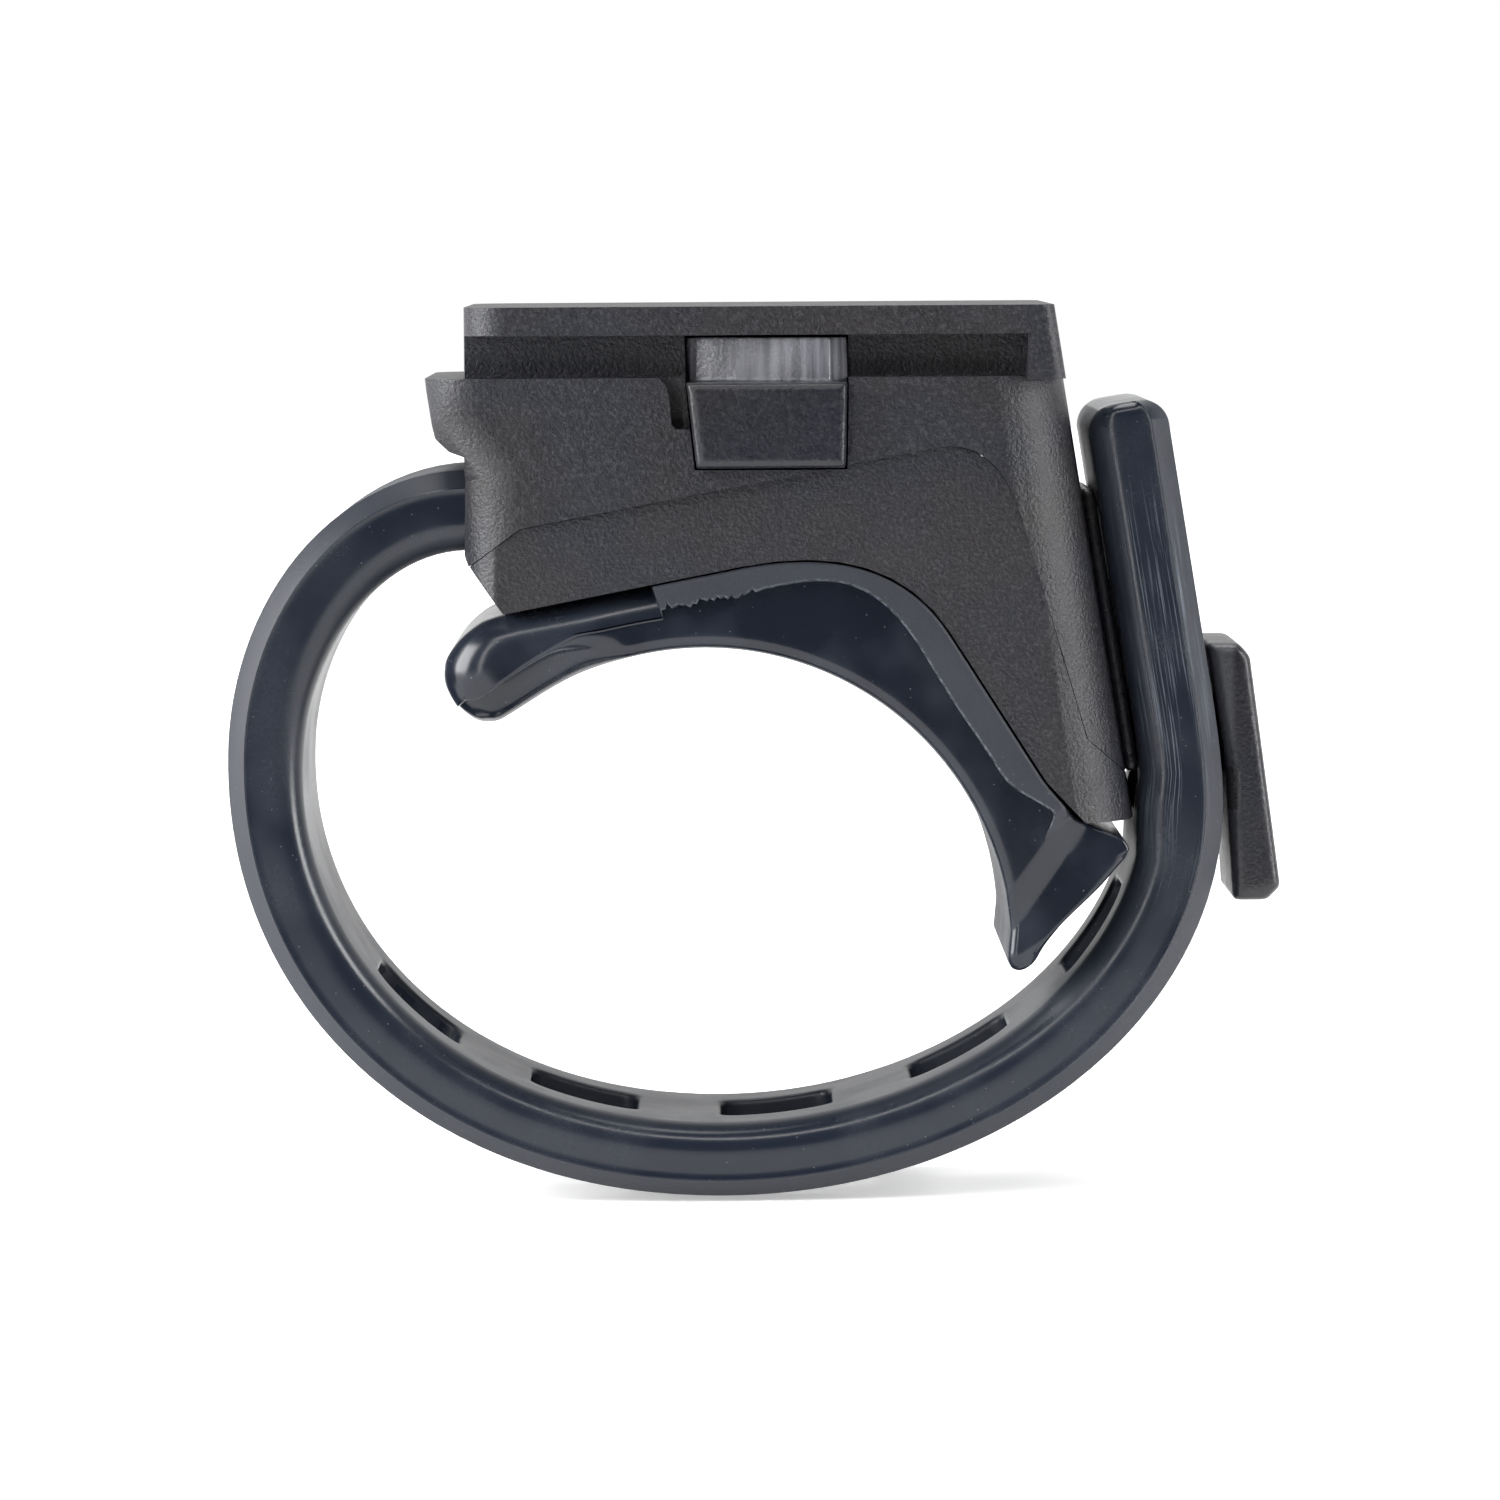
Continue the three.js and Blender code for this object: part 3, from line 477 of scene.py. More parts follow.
@dataclass
class Surface:
    """Points and faces gathered from grids, welded into one closed mesh."""

    points: list = field(default_factory=list)
    faces: list = field(default_factory=list)
    places: list = field(default_factory=list)
    marks: list = field(default_factory=list)
    count: int = 0

    def grid(
        self,
        points: np.ndarray,
        places: Optional[np.ndarray] = None,
        marks: Optional[np.ndarray] = None,
    ) -> None:
        """Adds a grid of quads.

        Args:
            points: Rows by columns by 3, in millimetres.
            places: Rows by columns by 2, where a pattern follows the surface.
            marks: Rows by columns by 2: how matte each point is, and how far it carries wear, which
                along the pad's flange edge is partly a painted highlight.
        """
        rows, columns = points.shape[:2]
        index = np.arange(rows * columns).reshape(rows, columns) + self.count
        quads = [index[:-1, :-1], index[1:, :-1], index[1:, 1:], index[:-1, 1:]]
        self.points.append(points.reshape(-1, 3))
        self.faces.extend(np.stack(quads, axis=-1).reshape(-1, 4).tolist())
        for store, values in ((self.places, places), (self.marks, marks)):
            known = np.zeros((rows, columns, 2)) if values is None else values
            store.append(known.reshape(-1, 2))
        self.count += rows * columns

    def disc(self, ring: np.ndarray) -> None:
        """Closes a ring of points with one flat face."""
        self.points.append(ring)
        self.places.append(np.zeros((len(ring), 2)))
        self.marks.append(np.zeros((len(ring), 2)))
        self.faces.append(list(range(self.count, self.count + len(ring))))
        self.count += len(ring)

    def build(self, name: str, sharp: float = 50.0) -> bpy.types.Object:
        """Welds everything into an object with outward faces.

        Args:
            name: The object's name.
            sharp: Edges that turn by more than this many degrees stay crisp.

        Returns:
            The object, linked to the scene, with a UV map from the places.
        """
        mesh = bpy.data.meshes.new(name)
        points = np.concatenate(self.points) * MM
        mesh.from_pydata(points.tolist(), [], self.faces)
        places = np.concatenate(self.places) * MM
        loops = np.zeros(len(mesh.loops), np.int32)
        mesh.loops.foreach_get("vertex_index", loops)
        layer = mesh.uv_layers.new(name="along")
        layer.data.foreach_set("uv", places[loops].astype(np.float32).ravel())
        marks = np.concatenate(self.marks)
        for column, mark_name in enumerate(("matte", "wear_and_highlight")):
            layer = mesh.attributes.new(mark_name, "FLOAT", "POINT")
            layer.data.foreach_set("value", marks[:, column].astype(np.float32))
        work = bmesh.new()
        work.from_mesh(mesh)
        bmesh.ops.remove_doubles(work, verts=work.verts, dist=WELD * MM)
        bmesh.ops.dissolve_degenerate(work, edges=work.edges, dist=WELD * MM * 0.2)
        open_edges = [edge for edge in work.edges if edge.is_boundary]
        if open_edges:
            bmesh.ops.holes_fill(work, edges=open_edges, sides=0)
        bmesh.ops.recalc_face_normals(work, faces=work.faces)
        work.to_mesh(mesh)
        work.free()
        mesh.polygons.foreach_set("use_smooth", [True] * len(mesh.polygons))
        mesh.set_sharp_from_angle(angle=math.radians(sharp))
        return placed(name, mesh)


def placed(name: str, data: bpy.types.ID) -> bpy.types.Object:
    """Makes an object of this data at the origin and links it to the scene."""
    made = bpy.data.objects.new(name, data)
    bpy.context.scene.collection.objects.link(made)
    return made


def crowded(count: int) -> np.ndarray:
    """Numbers from -1 to 1 that crowd towards both ends: sines of even angles."""
    return np.sin(np.linspace(-1, 1, count) * math.pi / 2)


def points_mm(piece: bpy.types.Object) -> np.ndarray:
    """A piece's points in millimetres, one row each."""
    points = np.zeros(len(piece.data.vertices) * 3)
    piece.data.vertices.foreach_get("co", points)
    return points.reshape(-1, 3) / MM


def mark(piece: bpy.types.Object, name: str, values: np.ndarray) -> None:
    """Stores a value of 0 to 1 at each of a piece's points."""
    layer = piece.data.attributes[name]
    layer.data.foreach_set("value", np.asarray(values, np.float32))


def dress(piece: bpy.types.Object, slot: Slot) -> bpy.types.Object:
    """Gives a piece its slot's finish."""
    piece.data.materials.clear()
    piece.data.materials.append(FINISHES[slot].material())
    return piece


def report(piece: bpy.types.Object) -> None:
    """Logs a finished piece."""
    log.info("%s: %d faces", piece.name, len(piece.data.polygons))


def line_samples(start: Sequence[float], end: Sequence[float], count: int) -> np.ndarray:
    """Evenly spaced points on a straight line."""
    share = np.linspace(0, 1, count)[:, None]
    return np.array(start) * (1 - share) + np.array(end) * share


def polyline(corners: Sequence[Sequence[float]]) -> np.ndarray:
    """A line through corners, sampled finely."""
    pairs = zip(corners[:-1], corners[1:])
    return chain([line_samples(start, end, 24) for start, end in pairs])


def curve_samples(
    start: Sequence[float], handle: Sequence[float], end: Sequence[float], count: int
) -> np.ndarray:
    """Points on a quadratic curve: each is the blend of its two sides' blends."""
    share = np.linspace(0, 1, count)[:, None]
    first = np.array(start) * (1 - share) + np.array(handle) * share
    second = np.array(handle) * (1 - share) + np.array(end) * share
    return first * (1 - share) + second * share


def chain(pieces: Sequence[np.ndarray]) -> np.ndarray:
    """Joins lines end to end, dropping each repeated first point."""
    return np.concatenate([pieces[0], *[piece[1:] for piece in pieces[1:]]])


def lengths(points: np.ndarray) -> np.ndarray:
    """Distance along a line at each of its points."""
    steps = np.linalg.norm(np.diff(points, axis=0), axis=1)
    return np.concatenate([[0], np.cumsum(steps)])


def resampled(points: np.ndarray, where: np.ndarray) -> np.ndarray:
    """A line's points at these distances along it."""
    along = lengths(points)
    return np.stack([np.interp(where, along, points[:, i]) for i in range(points.shape[1])], -1)


def softened(values: np.ndarray, reach: int, wrap: bool = False) -> np.ndarray:
    """Values averaged with their neighbours under a bell curve."""
    offsets = np.arange(-3 * reach, 3 * reach + 1)
    weights = np.exp(-0.5 * (offsets / reach) ** 2)
    weights /= weights.sum()
    mode = "wrap" if wrap else "edge"
    padded = np.pad(values, ((3 * reach, 3 * reach), (0, 0)), mode=mode)
    columns = [np.convolve(padded[:, i], weights, "valid") for i in range(values.shape[1])]
    return np.stack(columns, -1)


def smoothstep(low: float, high: float, x: np.ndarray) -> np.ndarray:
    """Smooth rise from 0 at low to 1 at high."""
    share = np.clip((x - low) / (high - low), 0, 1)
    return share * share * (3 - 2 * share)


def polar(degrees: np.ndarray, offset: np.ndarray) -> np.ndarray:
    """Points round the bar: an angle above +X and a distance out from the seat."""
    angle = np.radians(degrees)
    radius = SEAT_RADIUS + np.asarray(offset, float)
    return np.stack([radius * np.cos(angle), radius * np.sin(angle)], -1)


# ----------------------------------------------------------------- moulded pieces


@dataclass
class Moulding:
    """A moulded piece whose CAD shape is right: a copy with its edges rounded."""

    node: str
    name: str
    body: str
    slot: Slot
    rounding: float = 0.22
    grow: float = 0.08  # moves the surfaces out, to close the drawn gaps
    steps: int = 3
    sharp: float = 30.0
    voxel: float = 0.0  # where set, edges are melted round at this grid size instead
    passes: int = 8

    def round_edges(self, piece: bpy.types.Object) -> None:
        """Gives every sharp edge a small even radius."""
        bevel = piece.modifiers.new("rounded edges", "BEVEL")
        bevel.width = self.rounding * MM
        bevel.segments = self.steps
        bevel.limit_method = "ANGLE"
        bevel.angle_limit = math.radians(self.sharp)
        piece.modifiers.new("flat faces stay flat", "WEIGHTED_NORMAL")

    def melt(self, piece: bpy.types.Object) -> None:
        """Rebuilds the skin on a fine even grid and relaxes it, softest at corners."""
        grid = piece.modifiers.new("even grid", "REMESH")
        grid.mode = "VOXEL"
        grid.voxel_size = self.voxel * MM
        grid.use_smooth_shade = True
        relax = piece.modifiers.new("relaxed", "SMOOTH")
        relax.factor = 0.5
        relax.iterations = self.passes

    def build(self) -> bpy.types.Object:
        """Welds a copy of the node's triangles, clears flat seams, rounds its edges."""
        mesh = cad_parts[self.node].data.copy()
        mesh.name = self.name
        work = bmesh.new()
        work.from_mesh(mesh)
        bmesh.ops.remove_doubles(work, verts=work.verts, dist=WELD * MM)
        bmesh.ops.dissolve_limit(
            work, angle_limit=math.radians(0.5), verts=work.verts, edges=work.edges
        )
        work.normal_update()
        moves = [(v, v.normal * v.calc_shell_factor() * self.grow * MM) for v in work.verts]
        for vertex, move in moves:
            vertex.co += move
        work.to_mesh(mesh)
        work.free()
        piece = placed(self.name, mesh)
        for face in mesh.polygons:
            face.use_smooth = True
        if self.voxel:
            self.melt(piece)
        else:
            self.round_edges(piece)
        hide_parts(self.node)
        dress(piece, self.slot)
        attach(piece, self.body)
        report(piece)
        return piece


# ---------------------------------------------------------------------- the strap


@dataclass
class RubberStrap:
    """Slotted rubber strap: one plate carried along the loop, from root to end."""

    width: float = 16.0
    thickness: float = 3.9
    end_thickness: float = 4.3
    chamfer: float = 0.95
    inner_round: float = 1.6
    flash: float = 0.05  # bead on the parting line at the chamfer's edge
    slot_width: float = 6.9
    slot_length: float = 6.4
    slot_corner: float = 0.9
    slot_round: float = 0.35
    slot_pitch: float = 11.2
    slots: int = 7
    tail_radius: float = 1.5
    tail_corner: float = 0.7
    standoff: float = 0.95
    lean: float = math.radians(8.9)
    rail_end: float = 18.5
    fullness: float = 2.12
    bottom_x: float = 1.0
    side_z: float = 10.0
    root_inset: float = 5.0
    bend: tuple[float, float] = (2.0, 3.5)
    bend_drop: float = 1.2
    neck_z: float = 10.754
    neck_height: float = 3.1
    gap: float = 0.2
    rows: int = 16
    columns: int = 22
    # where the end would start to bend: middle, half height and the slope of its direction,
    # which keeps the loop's left side out of it; no bend is made from it
    flex: tuple = ((24.8, 0.0, 17.3), 1.5, 3.0)
    heel: tuple = ((25.0, 23.0), (21.4, 20.3))  # inner side thickens under the hook's neck

    def leg_x(self, z: float, out: float) -> float:
        """X at a height, a distance out from the leg's outer face."""
        top = box_mm("upper_housing")[1][2]
        return self.rail_end + (top - z) * math.tan(self.lean) + out / math.cos(self.lean)

    def centre_line(self) -> np.ndarray:
        """The strap's middle in the X-Z plane.

        A line out of the housing, a quarter ellipse over to the left side, a fuller
        quarter down to the bottom, a plain quarter up to the right, a short bend and
        a line up the leg. A fuller quarter is |x|^p + |z|^p = 1 with p over 2.
        """
        pin = sum(box_mm("strap_anchor_pin")) / 2
        low = box_mm("strap_loop")[0]
        left, bottom = low[0] + self.thickness / 2, low[2] + self.thickness / 2
        start_x = pin[0] - self.root_inset / 2
        out = self.standoff + self.end_thickness - self.thickness / 2
        bend_z = self.neck_z - self.bend_drop
        side_z, line_z = bend_z - self.bend[0], bend_z + self.bend[1]
        right = self.leg_x(bend_z, out)
        end_z = box_mm("strap_tail")[1][2] - 0.01

        def quarter(
            x: float, z: float, a: float, b: float, first: int, power: float
        ) -> np.ndarray:
            """A quarter turn round (x, z), with reaches a and b."""
            angle = np.linspace(first, first + 1, 500) * math.pi / 2
            cosine, sine = np.cos(angle), np.sin(angle)
            swell = 2 / power
            return np.stack(
                [
                    x + a * np.sign(cosine) * np.abs(cosine) ** swell,
                    z + b * np.sign(sine) * np.abs(sine) ** swell,
                ],
                -1,
            )

        line = chain(
            [
                line_samples((start_x + self.root_inset, pin[2]), (start_x, pin[2]), 60),
                quarter(start_x, self.side_z, start_x - left, pin[2] - self.side_z, 1, 2),
                quarter(
                    self.bottom_x, self.side_z, self.bottom_x - left,
                    self.side_z - bottom, 2, self.fullness,
                ),
                quarter(self.bottom_x, side_z, right - self.bottom_x, side_z - bottom, 3, 2),
                curve_samples(
                    (right, side_z), (right, bend_z), (self.leg_x(line_z, out), line_z), 80
                ),
                line_samples(
                    (self.leg_x(line_z, out), line_z), (self.leg_x(end_z, out), end_z), 200
                ),
            ]
        )
        return softened(resampled(line, np.linspace(0, lengths(line)[-1], 4000)), 14)

    def slot_places(self, length: float, end_z: float) -> np.ndarray:
        """Distances along the strap of the slots' middles, first the one in the end."""
        slant = (self.end_thickness / 2 + self.gap) * math.tan(self.lean)
        top = self.neck_z + self.neck_height / 2 + self.gap + slant
        hook = length - (end_z - top) / math.cos(self.lean) - self.slot_length / 2
        return hook + (1 - np.arange(self.slots)) * self.slot_pitch

    def depth(self, s: np.ndarray, length: float) -> tuple[np.ndarray, np.ndarray]:
        """Outer and inner half thickness: thicker at both ends, rounded at the tip."""
        share = s / length
        extra = self.end_thickness - self.thickness
        swell = 1 - smoothstep(0.1, 0.25, share) + smoothstep(0.5, 0.75, share)
        into = np.clip((s - (length - self.tail_radius)) / self.tail_radius, 0, 1)
        shrink = self.tail_radius * (1 - np.sqrt(1 - into**2))
        half = self.thickness / 2
        before, after = (smoothstep(length - a, length - b, s) for a, b in self.heel)
        return half - shrink, half + swell * extra - shrink + 0.25 * before * (1 - after)

    def half_width(self, s: np.ndarray, length: float) -> np.ndarray:
        """Half width, drawn in by a small radius at the tip."""
        into = np.clip((s - (length - self.tail_corner)) / self.tail_corner, 0, 1)
        return self.width / 2 - self.tail_corner * (1 - np.sqrt(1 - into**2))

    def bent(self, s: np.ndarray, y: np.ndarray, n: np.ndarray) -> np.ndarray:
        """Carries the flat plate's points onto the loop: along, across, outwards."""
        along = lengths(self.line)
        tangent = np.gradient(self.line, along, axis=0)
        tangent /= np.linalg.norm(tangent, axis=1)[:, None]
        x, z = (np.interp(s, along, self.line[:, i]) for i in (0, 1))
        tx, tz = (np.interp(s, along, tangent[:, i]) for i in (0, 1))
        return np.stack([x + n * tz, y, z - n * tx], -1)

    def rim(self, s: np.ndarray, side: int) -> None:
        """One long edge: chamfer outside, flat side, full round inside."""
        outer, inner = self.depth(s, self.length)
        half = self.half_width(s, self.length)
        fit = np.clip((outer + inner) / self.end_thickness, 0.3, 1)
        cut, radius = self.chamfer * fit, self.inner_round * fit
        turn = np.linspace(0, math.pi / 2, 9)
        inset = [cut, cut * 0.94, cut * 0.06, -self.flash + 0 * cut, 0 * cut]
        drop = [0 * cut, cut * 0.03, cut * 0.94, cut * 1.02, cut * 1.16]
        rows = [(i, outer - d) for i, d in zip(inset, drop)]
        low = -inner + radius
        rows += [(0 * cut, (outer - cut * 1.16) * (1 - k) + low * k) for k in (0.25, 0.5, 0.75)]
        rows += [(radius * (1 - math.cos(a)), low - radius * math.sin(a)) for a in turn]
        points = [self.bent(s, side * (half - i), n) for i, n in rows]
        across = np.linspace(0, 1, len(rows))[:, None] * 6.0 + side * 20.0
        places = np.stack(np.broadcast_arrays(s[None, :], across), -1)
        self.surface.grid(np.stack(points), places)

    def patch(self, s: np.ndarray, y: np.ndarray, top: bool) -> None:
        """Part of the outer or inner face, from its places along and across."""
        outer, inner = self.depth(s, self.length)
        n = outer if top else -inner
        places = np.stack([s, y + (0 if top else 40.0)], -1)
        self.surface.grid(self.bent(s, y, n), places)

    def face_half(self, s: np.ndarray, top: bool) -> np.ndarray:
        """Half width of the outer or inner face inside its rim."""
        outer, inner = self.depth(s, self.length)
        fit = np.clip((outer + inner) / self.end_thickness, 0.3, 1)
        return self.half_width(s, self.length) - (self.chamfer if top else self.inner_round) * fit

    def plain_cell(self, s: np.ndarray) -> None:
        """A stretch without a slot."""
        across = crowded(self.columns)
        for top in (True, False):
            half = self.face_half(s, top)
            self.patch(
                np.broadcast_to(s[:, None], (len(s), self.columns)),
                half[:, None] * across[None, :],
                top,
            )

    def slot_ring(self, centre: float, grow: float) -> np.ndarray:
        """The slot's outline as places along and across, grown by a margin.

        A rounded rectangle, cut at the middles of its corners into four sides whose
        points crowd towards the corners.
        """
        radius = self.slot_corner + grow
        half = (self.slot_length / 2 + grow, self.slot_width / 2 + grow)
        sides = []
        for turn in range(4):
            long, wide = (half[0], half[1]) if turn % 2 == 0 else (half[1], half[0])
            count = self.columns if turn % 2 == 0 else self.rows
            arc = np.linspace(0, math.pi / 4, 12)
            flat, reach = wide - radius, long - radius
            first = np.stack(
                [reach + radius * np.cos(math.pi / 4 - arc),
                 -flat - radius * np.sin(math.pi / 4 - arc)], -1)
            last = np.stack([reach + radius * np.cos(arc), flat + radius * np.sin(arc)], -1)
            side = np.concatenate([first, last])
            run = lengths(side)
            spread = (1 + crowded(count)) / 2
            side = resampled(side, spread * run[-1])
            angle = turn * math.pi / 2
            cosine, sine = round(math.cos(angle)), round(math.sin(angle))
            turned = np.stack(
                [side[:, 0] * cosine - side[:, 1] * sine,
                 side[:, 0] * sine + side[:, 1] * cosine], -1)
            sides.append(turned[:-1])
        ring = np.concatenate(sides)
        return np.concatenate([ring, ring[:1]]) + [centre, 0]

    def slot_cell(self, centre: float, s: np.ndarray) -> None:
        """A stretch round a slot: both faces as rings, and the slot's walls."""
        across = crowded(self.columns)
        hole = self.slot_ring(centre, self.slot_round)
        for top in (True, False):
            half_end, half_start = (self.face_half(s[i], top) for i in ([-1], [0]))
            side = self.face_half(s, top)
            outline = np.concatenate(
                [
                    np.stack([np.full(self.columns, s[-1]), half_end * across], -1)[:-1],
                    np.stack([s[::-1], side[::-1]], -1)[:-1],
                    np.stack([np.full(self.columns, s[0]), -half_start * across], -1)[:-1],
                    np.stack([s, -side], -1)[:-1],
                ]
            )
            outline = np.concatenate([outline, outline[:1]])
            share = np.linspace(0, 1, 5)[:, None, None]
            rings = outline[None] * (1 - share) + hole[None] * share
            self.patch(rings[..., 0], rings[..., 1], top)
        turn = np.linspace(0, math.pi / 2, 6)
        sizes = [self.slot_round * (1 - math.sin(a)) for a in turn]
        drops = [self.slot_round * (1 - math.cos(a)) for a in turn]
        rings = [self.slot_ring(centre, g) for g in [*sizes, *sizes[::-1]]]
        rows = []
        for i, ring in enumerate(rings):
            outer, inner = self.depth(ring[:, 0], self.length)
            n = outer - drops[i] if i < len(turn) else -inner + drops[::-1][i - len(turn)]
            rows.append(self.bent(ring[:, 0], ring[:, 1], n))
        self.surface.grid(np.stack(rows))

    def wear(self, piece: bpy.types.Object) -> None:
        """Marks how much each point rubs: the side faces along the leg."""
        x, y, z = points_mm(piece).T
        reach = smoothstep(1.0, 8.0, z) * (1 - smoothstep(20.0, 26.0, z)) * (x > 15)
        mark(piece, "wear_and_highlight", reach * (np.abs(y) > 7.2))
        along = lengths(self.line)[::20]
        line = self.line[::20]
        gap = np.hypot(x[:, None] - line[None, :, 0], z[:, None] - line[None, :, 1])
        near = np.argmin(gap, axis=1)
        tangent = np.gradient(line, along, axis=0)[near]
        out = (x - line[near, 0]) * tangent[:, 1] - (z - line[near, 1]) * tangent[:, 0]
        outer = out > self.thickness / 2 - self.chamfer * 0.98
        mark(piece, "matte", np.where(outer, 0.7, np.where(out < -1.6, 0.45, 0.0)))

    def build(self) -> bpy.types.Object:
        """Builds the whole strap."""
        self.line = self.centre_line()
        self.length = lengths(self.line)[-1]
        self.surface = Surface()
        places = self.slot_places(self.length, self.line[-1, 1])
        margin = self.slot_length / 2 + 1.3
        cell = (1 + crowded(self.rows)) / 2
        stops = [0.0]
        rim = []
        for centre in places[::-1]:
            start, end = centre - margin, centre + margin
            if start < stops[-1] + 0.5:
                continue
            plain = np.linspace(stops[-1], start, max(3, int((start - stops[-1]) / 0.7)))
            self.plain_cell(plain)
            across = start + (end - start) * cell
            self.slot_cell(centre, across)
            rim += [plain, across]
            stops.append(end)
        run = self.length - stops[-1]
        tail = stops[-1] + run * np.sin(np.linspace(0, 1, 30) * math.pi / 2)
        self.plain_cell(tail)
        rim.append(tail)
        whole = chain([part[:, None] for part in rim])[:, 0]
        for side in (-1, 1):
            self.rim(whole, side)
        piece = self.surface.build("rubber_strap", sharp=38)
        self.wear(piece)
        dress(piece, Slot.STRAP)
        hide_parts("strap_loop", "strap_tail")
        middle, reach, slope = self.flex
        way = np.array([1, 0, slope]) / math.hypot(1, slope)
        start, end = (np.array(middle) + way * reach * side for side in (-1, 1))
        tuple(start * MM)
        tuple(end * MM)
        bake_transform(piece)
        report(piece)
        return piece


# ------------------------------------------------------------------ the saddle pad


@dataclass
class SaddlePad:
    """Rubber pad on the bar: sections set across it from the lobe's tip to the toe."""

    half: float = HALF_WIDTH
    recess: float = 0.55  # side face behind the flange
    flange_round: float = 0.25
    seat_round: float = 0.7
    lobe_round: float = 1.9
    foot_round: float = 0.9
    tuck: float = 1.1  # lobe's lower side, drawn in under its crease
    tuck_end: tuple[float, float] = (-9.0, -4.5)
    bead: float = 0.16  # hidden centre band that beds on the bracket
    bead_half: float = 6.0
    cut_x: float = -2.1  # where the flange stops short of the lobe
    cut_width: float = 0.12
    arch: tuple = ((120.2, 4.6), (66.0, 7.8), (26.4, 3.9))
    arch_bend: tuple[float, float] = (8.0, 6.0)
    crease: tuple = ((19.8, 6.0), (17.1, 2.2))
    crease_depth: float = 0.55
    facet_width: float = 1.3
    facet_climb: float = 0.07
    columns: tuple = (30, 8, 170, 44, 44)
    # flange's lower edge, out from the seat: a level run with a hump over the crown,
    # which rises from the foot's side and falls to the lobe's, in mm and degrees
    edge_level: float = 2.25
    edge_hump: float = 2.65
    hump_place: float = 64.0
    hump_reach: float = 16.0
    foot_place: float = 26.0
    foot_rise: float = 0.2  # mm for each degree past that place
    foot_span: float = 9.5
    lobe_place: float = 97.0
    lobe_fall: float = 0.018
    lobe_span: float = 33.0

    def arch_line(self) -> np.ndarray:
        """The pad's top: a line, a bend over the crown and a line down to the foot."""
        toe, crown, foot = (polar(*place) for place in self.arch)
        rise, fall = self.arch_bend
        start = crown + (toe - crown) / np.linalg.norm(toe - crown) * rise
        end = crown + (foot - crown) / np.linalg.norm(foot - crown) * fall
        return chain(
            [
                line_samples(toe, start, 60),
                curve_samples(start, crown, end, 60),
                line_samples(end, foot, 60),
            ]
        )

    def outlines(self) -> tuple[np.ndarray, np.ndarray]:
        """Seat side and top side as matching points from the lobe's tip to the toe.

        Both are cut at matching corners into stretches, each spaced evenly. Two more
        sections stand close together where the flange starts.
        """
        tip, toe = polar(135.3, 2.35), np.array([16.75, -1.2])
        seat = polar(np.linspace(124, 4, 200), np.zeros(200))
        arch = self.arch_line()
        inner_parts = [
            polyline([tip, polar(134.9, 1.0), polar(132.4, 0.25), polar(124, 0)]),
            seat[:13],
            seat[12:170],
            seat[169:],
            polyline([polar(4, 0), (15.95, -0.5), (16.25, -1.08), toe]),
        ]
        outer_parts = [
            polyline([tip, polar(134.1, 3.75), polar(131.6, 4.6), polar(127.6, 4.95),
                      polar(123.7, 5.0)]),
            polyline([polar(123.7, 5.0), arch[0]]),
            arch,
            polyline([arch[-1], (19.6, 7.02), (20.4, 6.6), (22.2, 5.92), (22.6, 5.2)]),
            polyline([(22.6, 5.2), (21.0, 3.35), (18.9, 1.35), (17.9, 0.1), (17.45, -0.85),
                      toe]),
        ]
        inner, outer = (
            chain([resampled(part, np.linspace(0, lengths(part)[-1], count))
                   for part, count in zip(parts, self.columns)])
            for parts in (inner_parts, outer_parts)
        )
        loop = softened(np.concatenate([inner, outer[-2:0:-1]]), 2, wrap=True)
        inner = loop[: len(inner)]
        outer = np.concatenate([loop[:1], loop[len(inner):][::-1], inner[-1:]])
        middle = (inner + outer)[: len(inner) // 2, 0] / 2
        edges = self.cut_x + self.cut_width * np.array([-0.5, 0.5])
        extra = np.interp(edges, middle, np.arange(len(middle)))
        where = np.sort(np.concatenate([np.arange(len(inner)), extra]))
        count = np.arange(len(inner))
        return tuple(
            np.stack([np.interp(where, count, side[:, i]) for i in (0, 1)], -1)
            for side in (inner, outer)
        )

    def flange_height(self, inner: np.ndarray, length: np.ndarray) -> np.ndarray:
        """Distance from the seat side to the flange's lower edge in each section.

        It is a level, plus a bell curve over the crown, plus a straight rise to the
        foot, less a straight fall to the lobe. Where the flange was torn in moulding,
        its edge wanders.
        """
        place = np.degrees(np.arctan2(inner[:, 1], inner[:, 0]))
        hump = np.exp(-(((place - self.hump_place) / self.hump_reach) ** 2))
        # the foot's rise ends where the edge has met the foot's facets
        rise = np.clip(self.foot_place - place, 0, self.foot_span) * self.foot_rise
        fall = np.clip(place - self.lobe_place, 0, self.lobe_span) * self.lobe_fall
        smooth = self.edge_level + self.edge_hump * hump + rise - fall
        smooth = softened(smooth[:, None], 3)[:, 0]
        middle_x = inner[:, 0] * (1 + smooth / SEAT_RADIUS)
        torn = smoothstep(-2.5, -1.8, middle_x) * (1 - smoothstep(3.5, 6.0, middle_x))
        wander = np.random.default_rng(7).normal(0, 0.16, len(smooth))
        wander *= 1 - 0.6 * smoothstep(0, 3, middle_x)
        return np.clip(smooth + torn * wander, 0.1 * length, 0.93 * length)

    def facets(self, x: np.ndarray, z: np.ndarray) -> np.ndarray:
        """How far the foot's side stands out from the recessed side face.

        One facet falls to a crease over a set width, and from there the side climbs
        slowly in proportion to the distance past it.
        """
        top, low = np.array(self.crease)
        way = (low - top) / np.linalg.norm(low - top)
        past = (z - top[1]) * way[0] - (x - top[0]) * way[1]
        fall = self.crease_depth * np.clip(1 + past / self.facet_width, 0, 1)
        return np.where(past < 0, -fall, self.facet_climb * past - self.crease_depth)

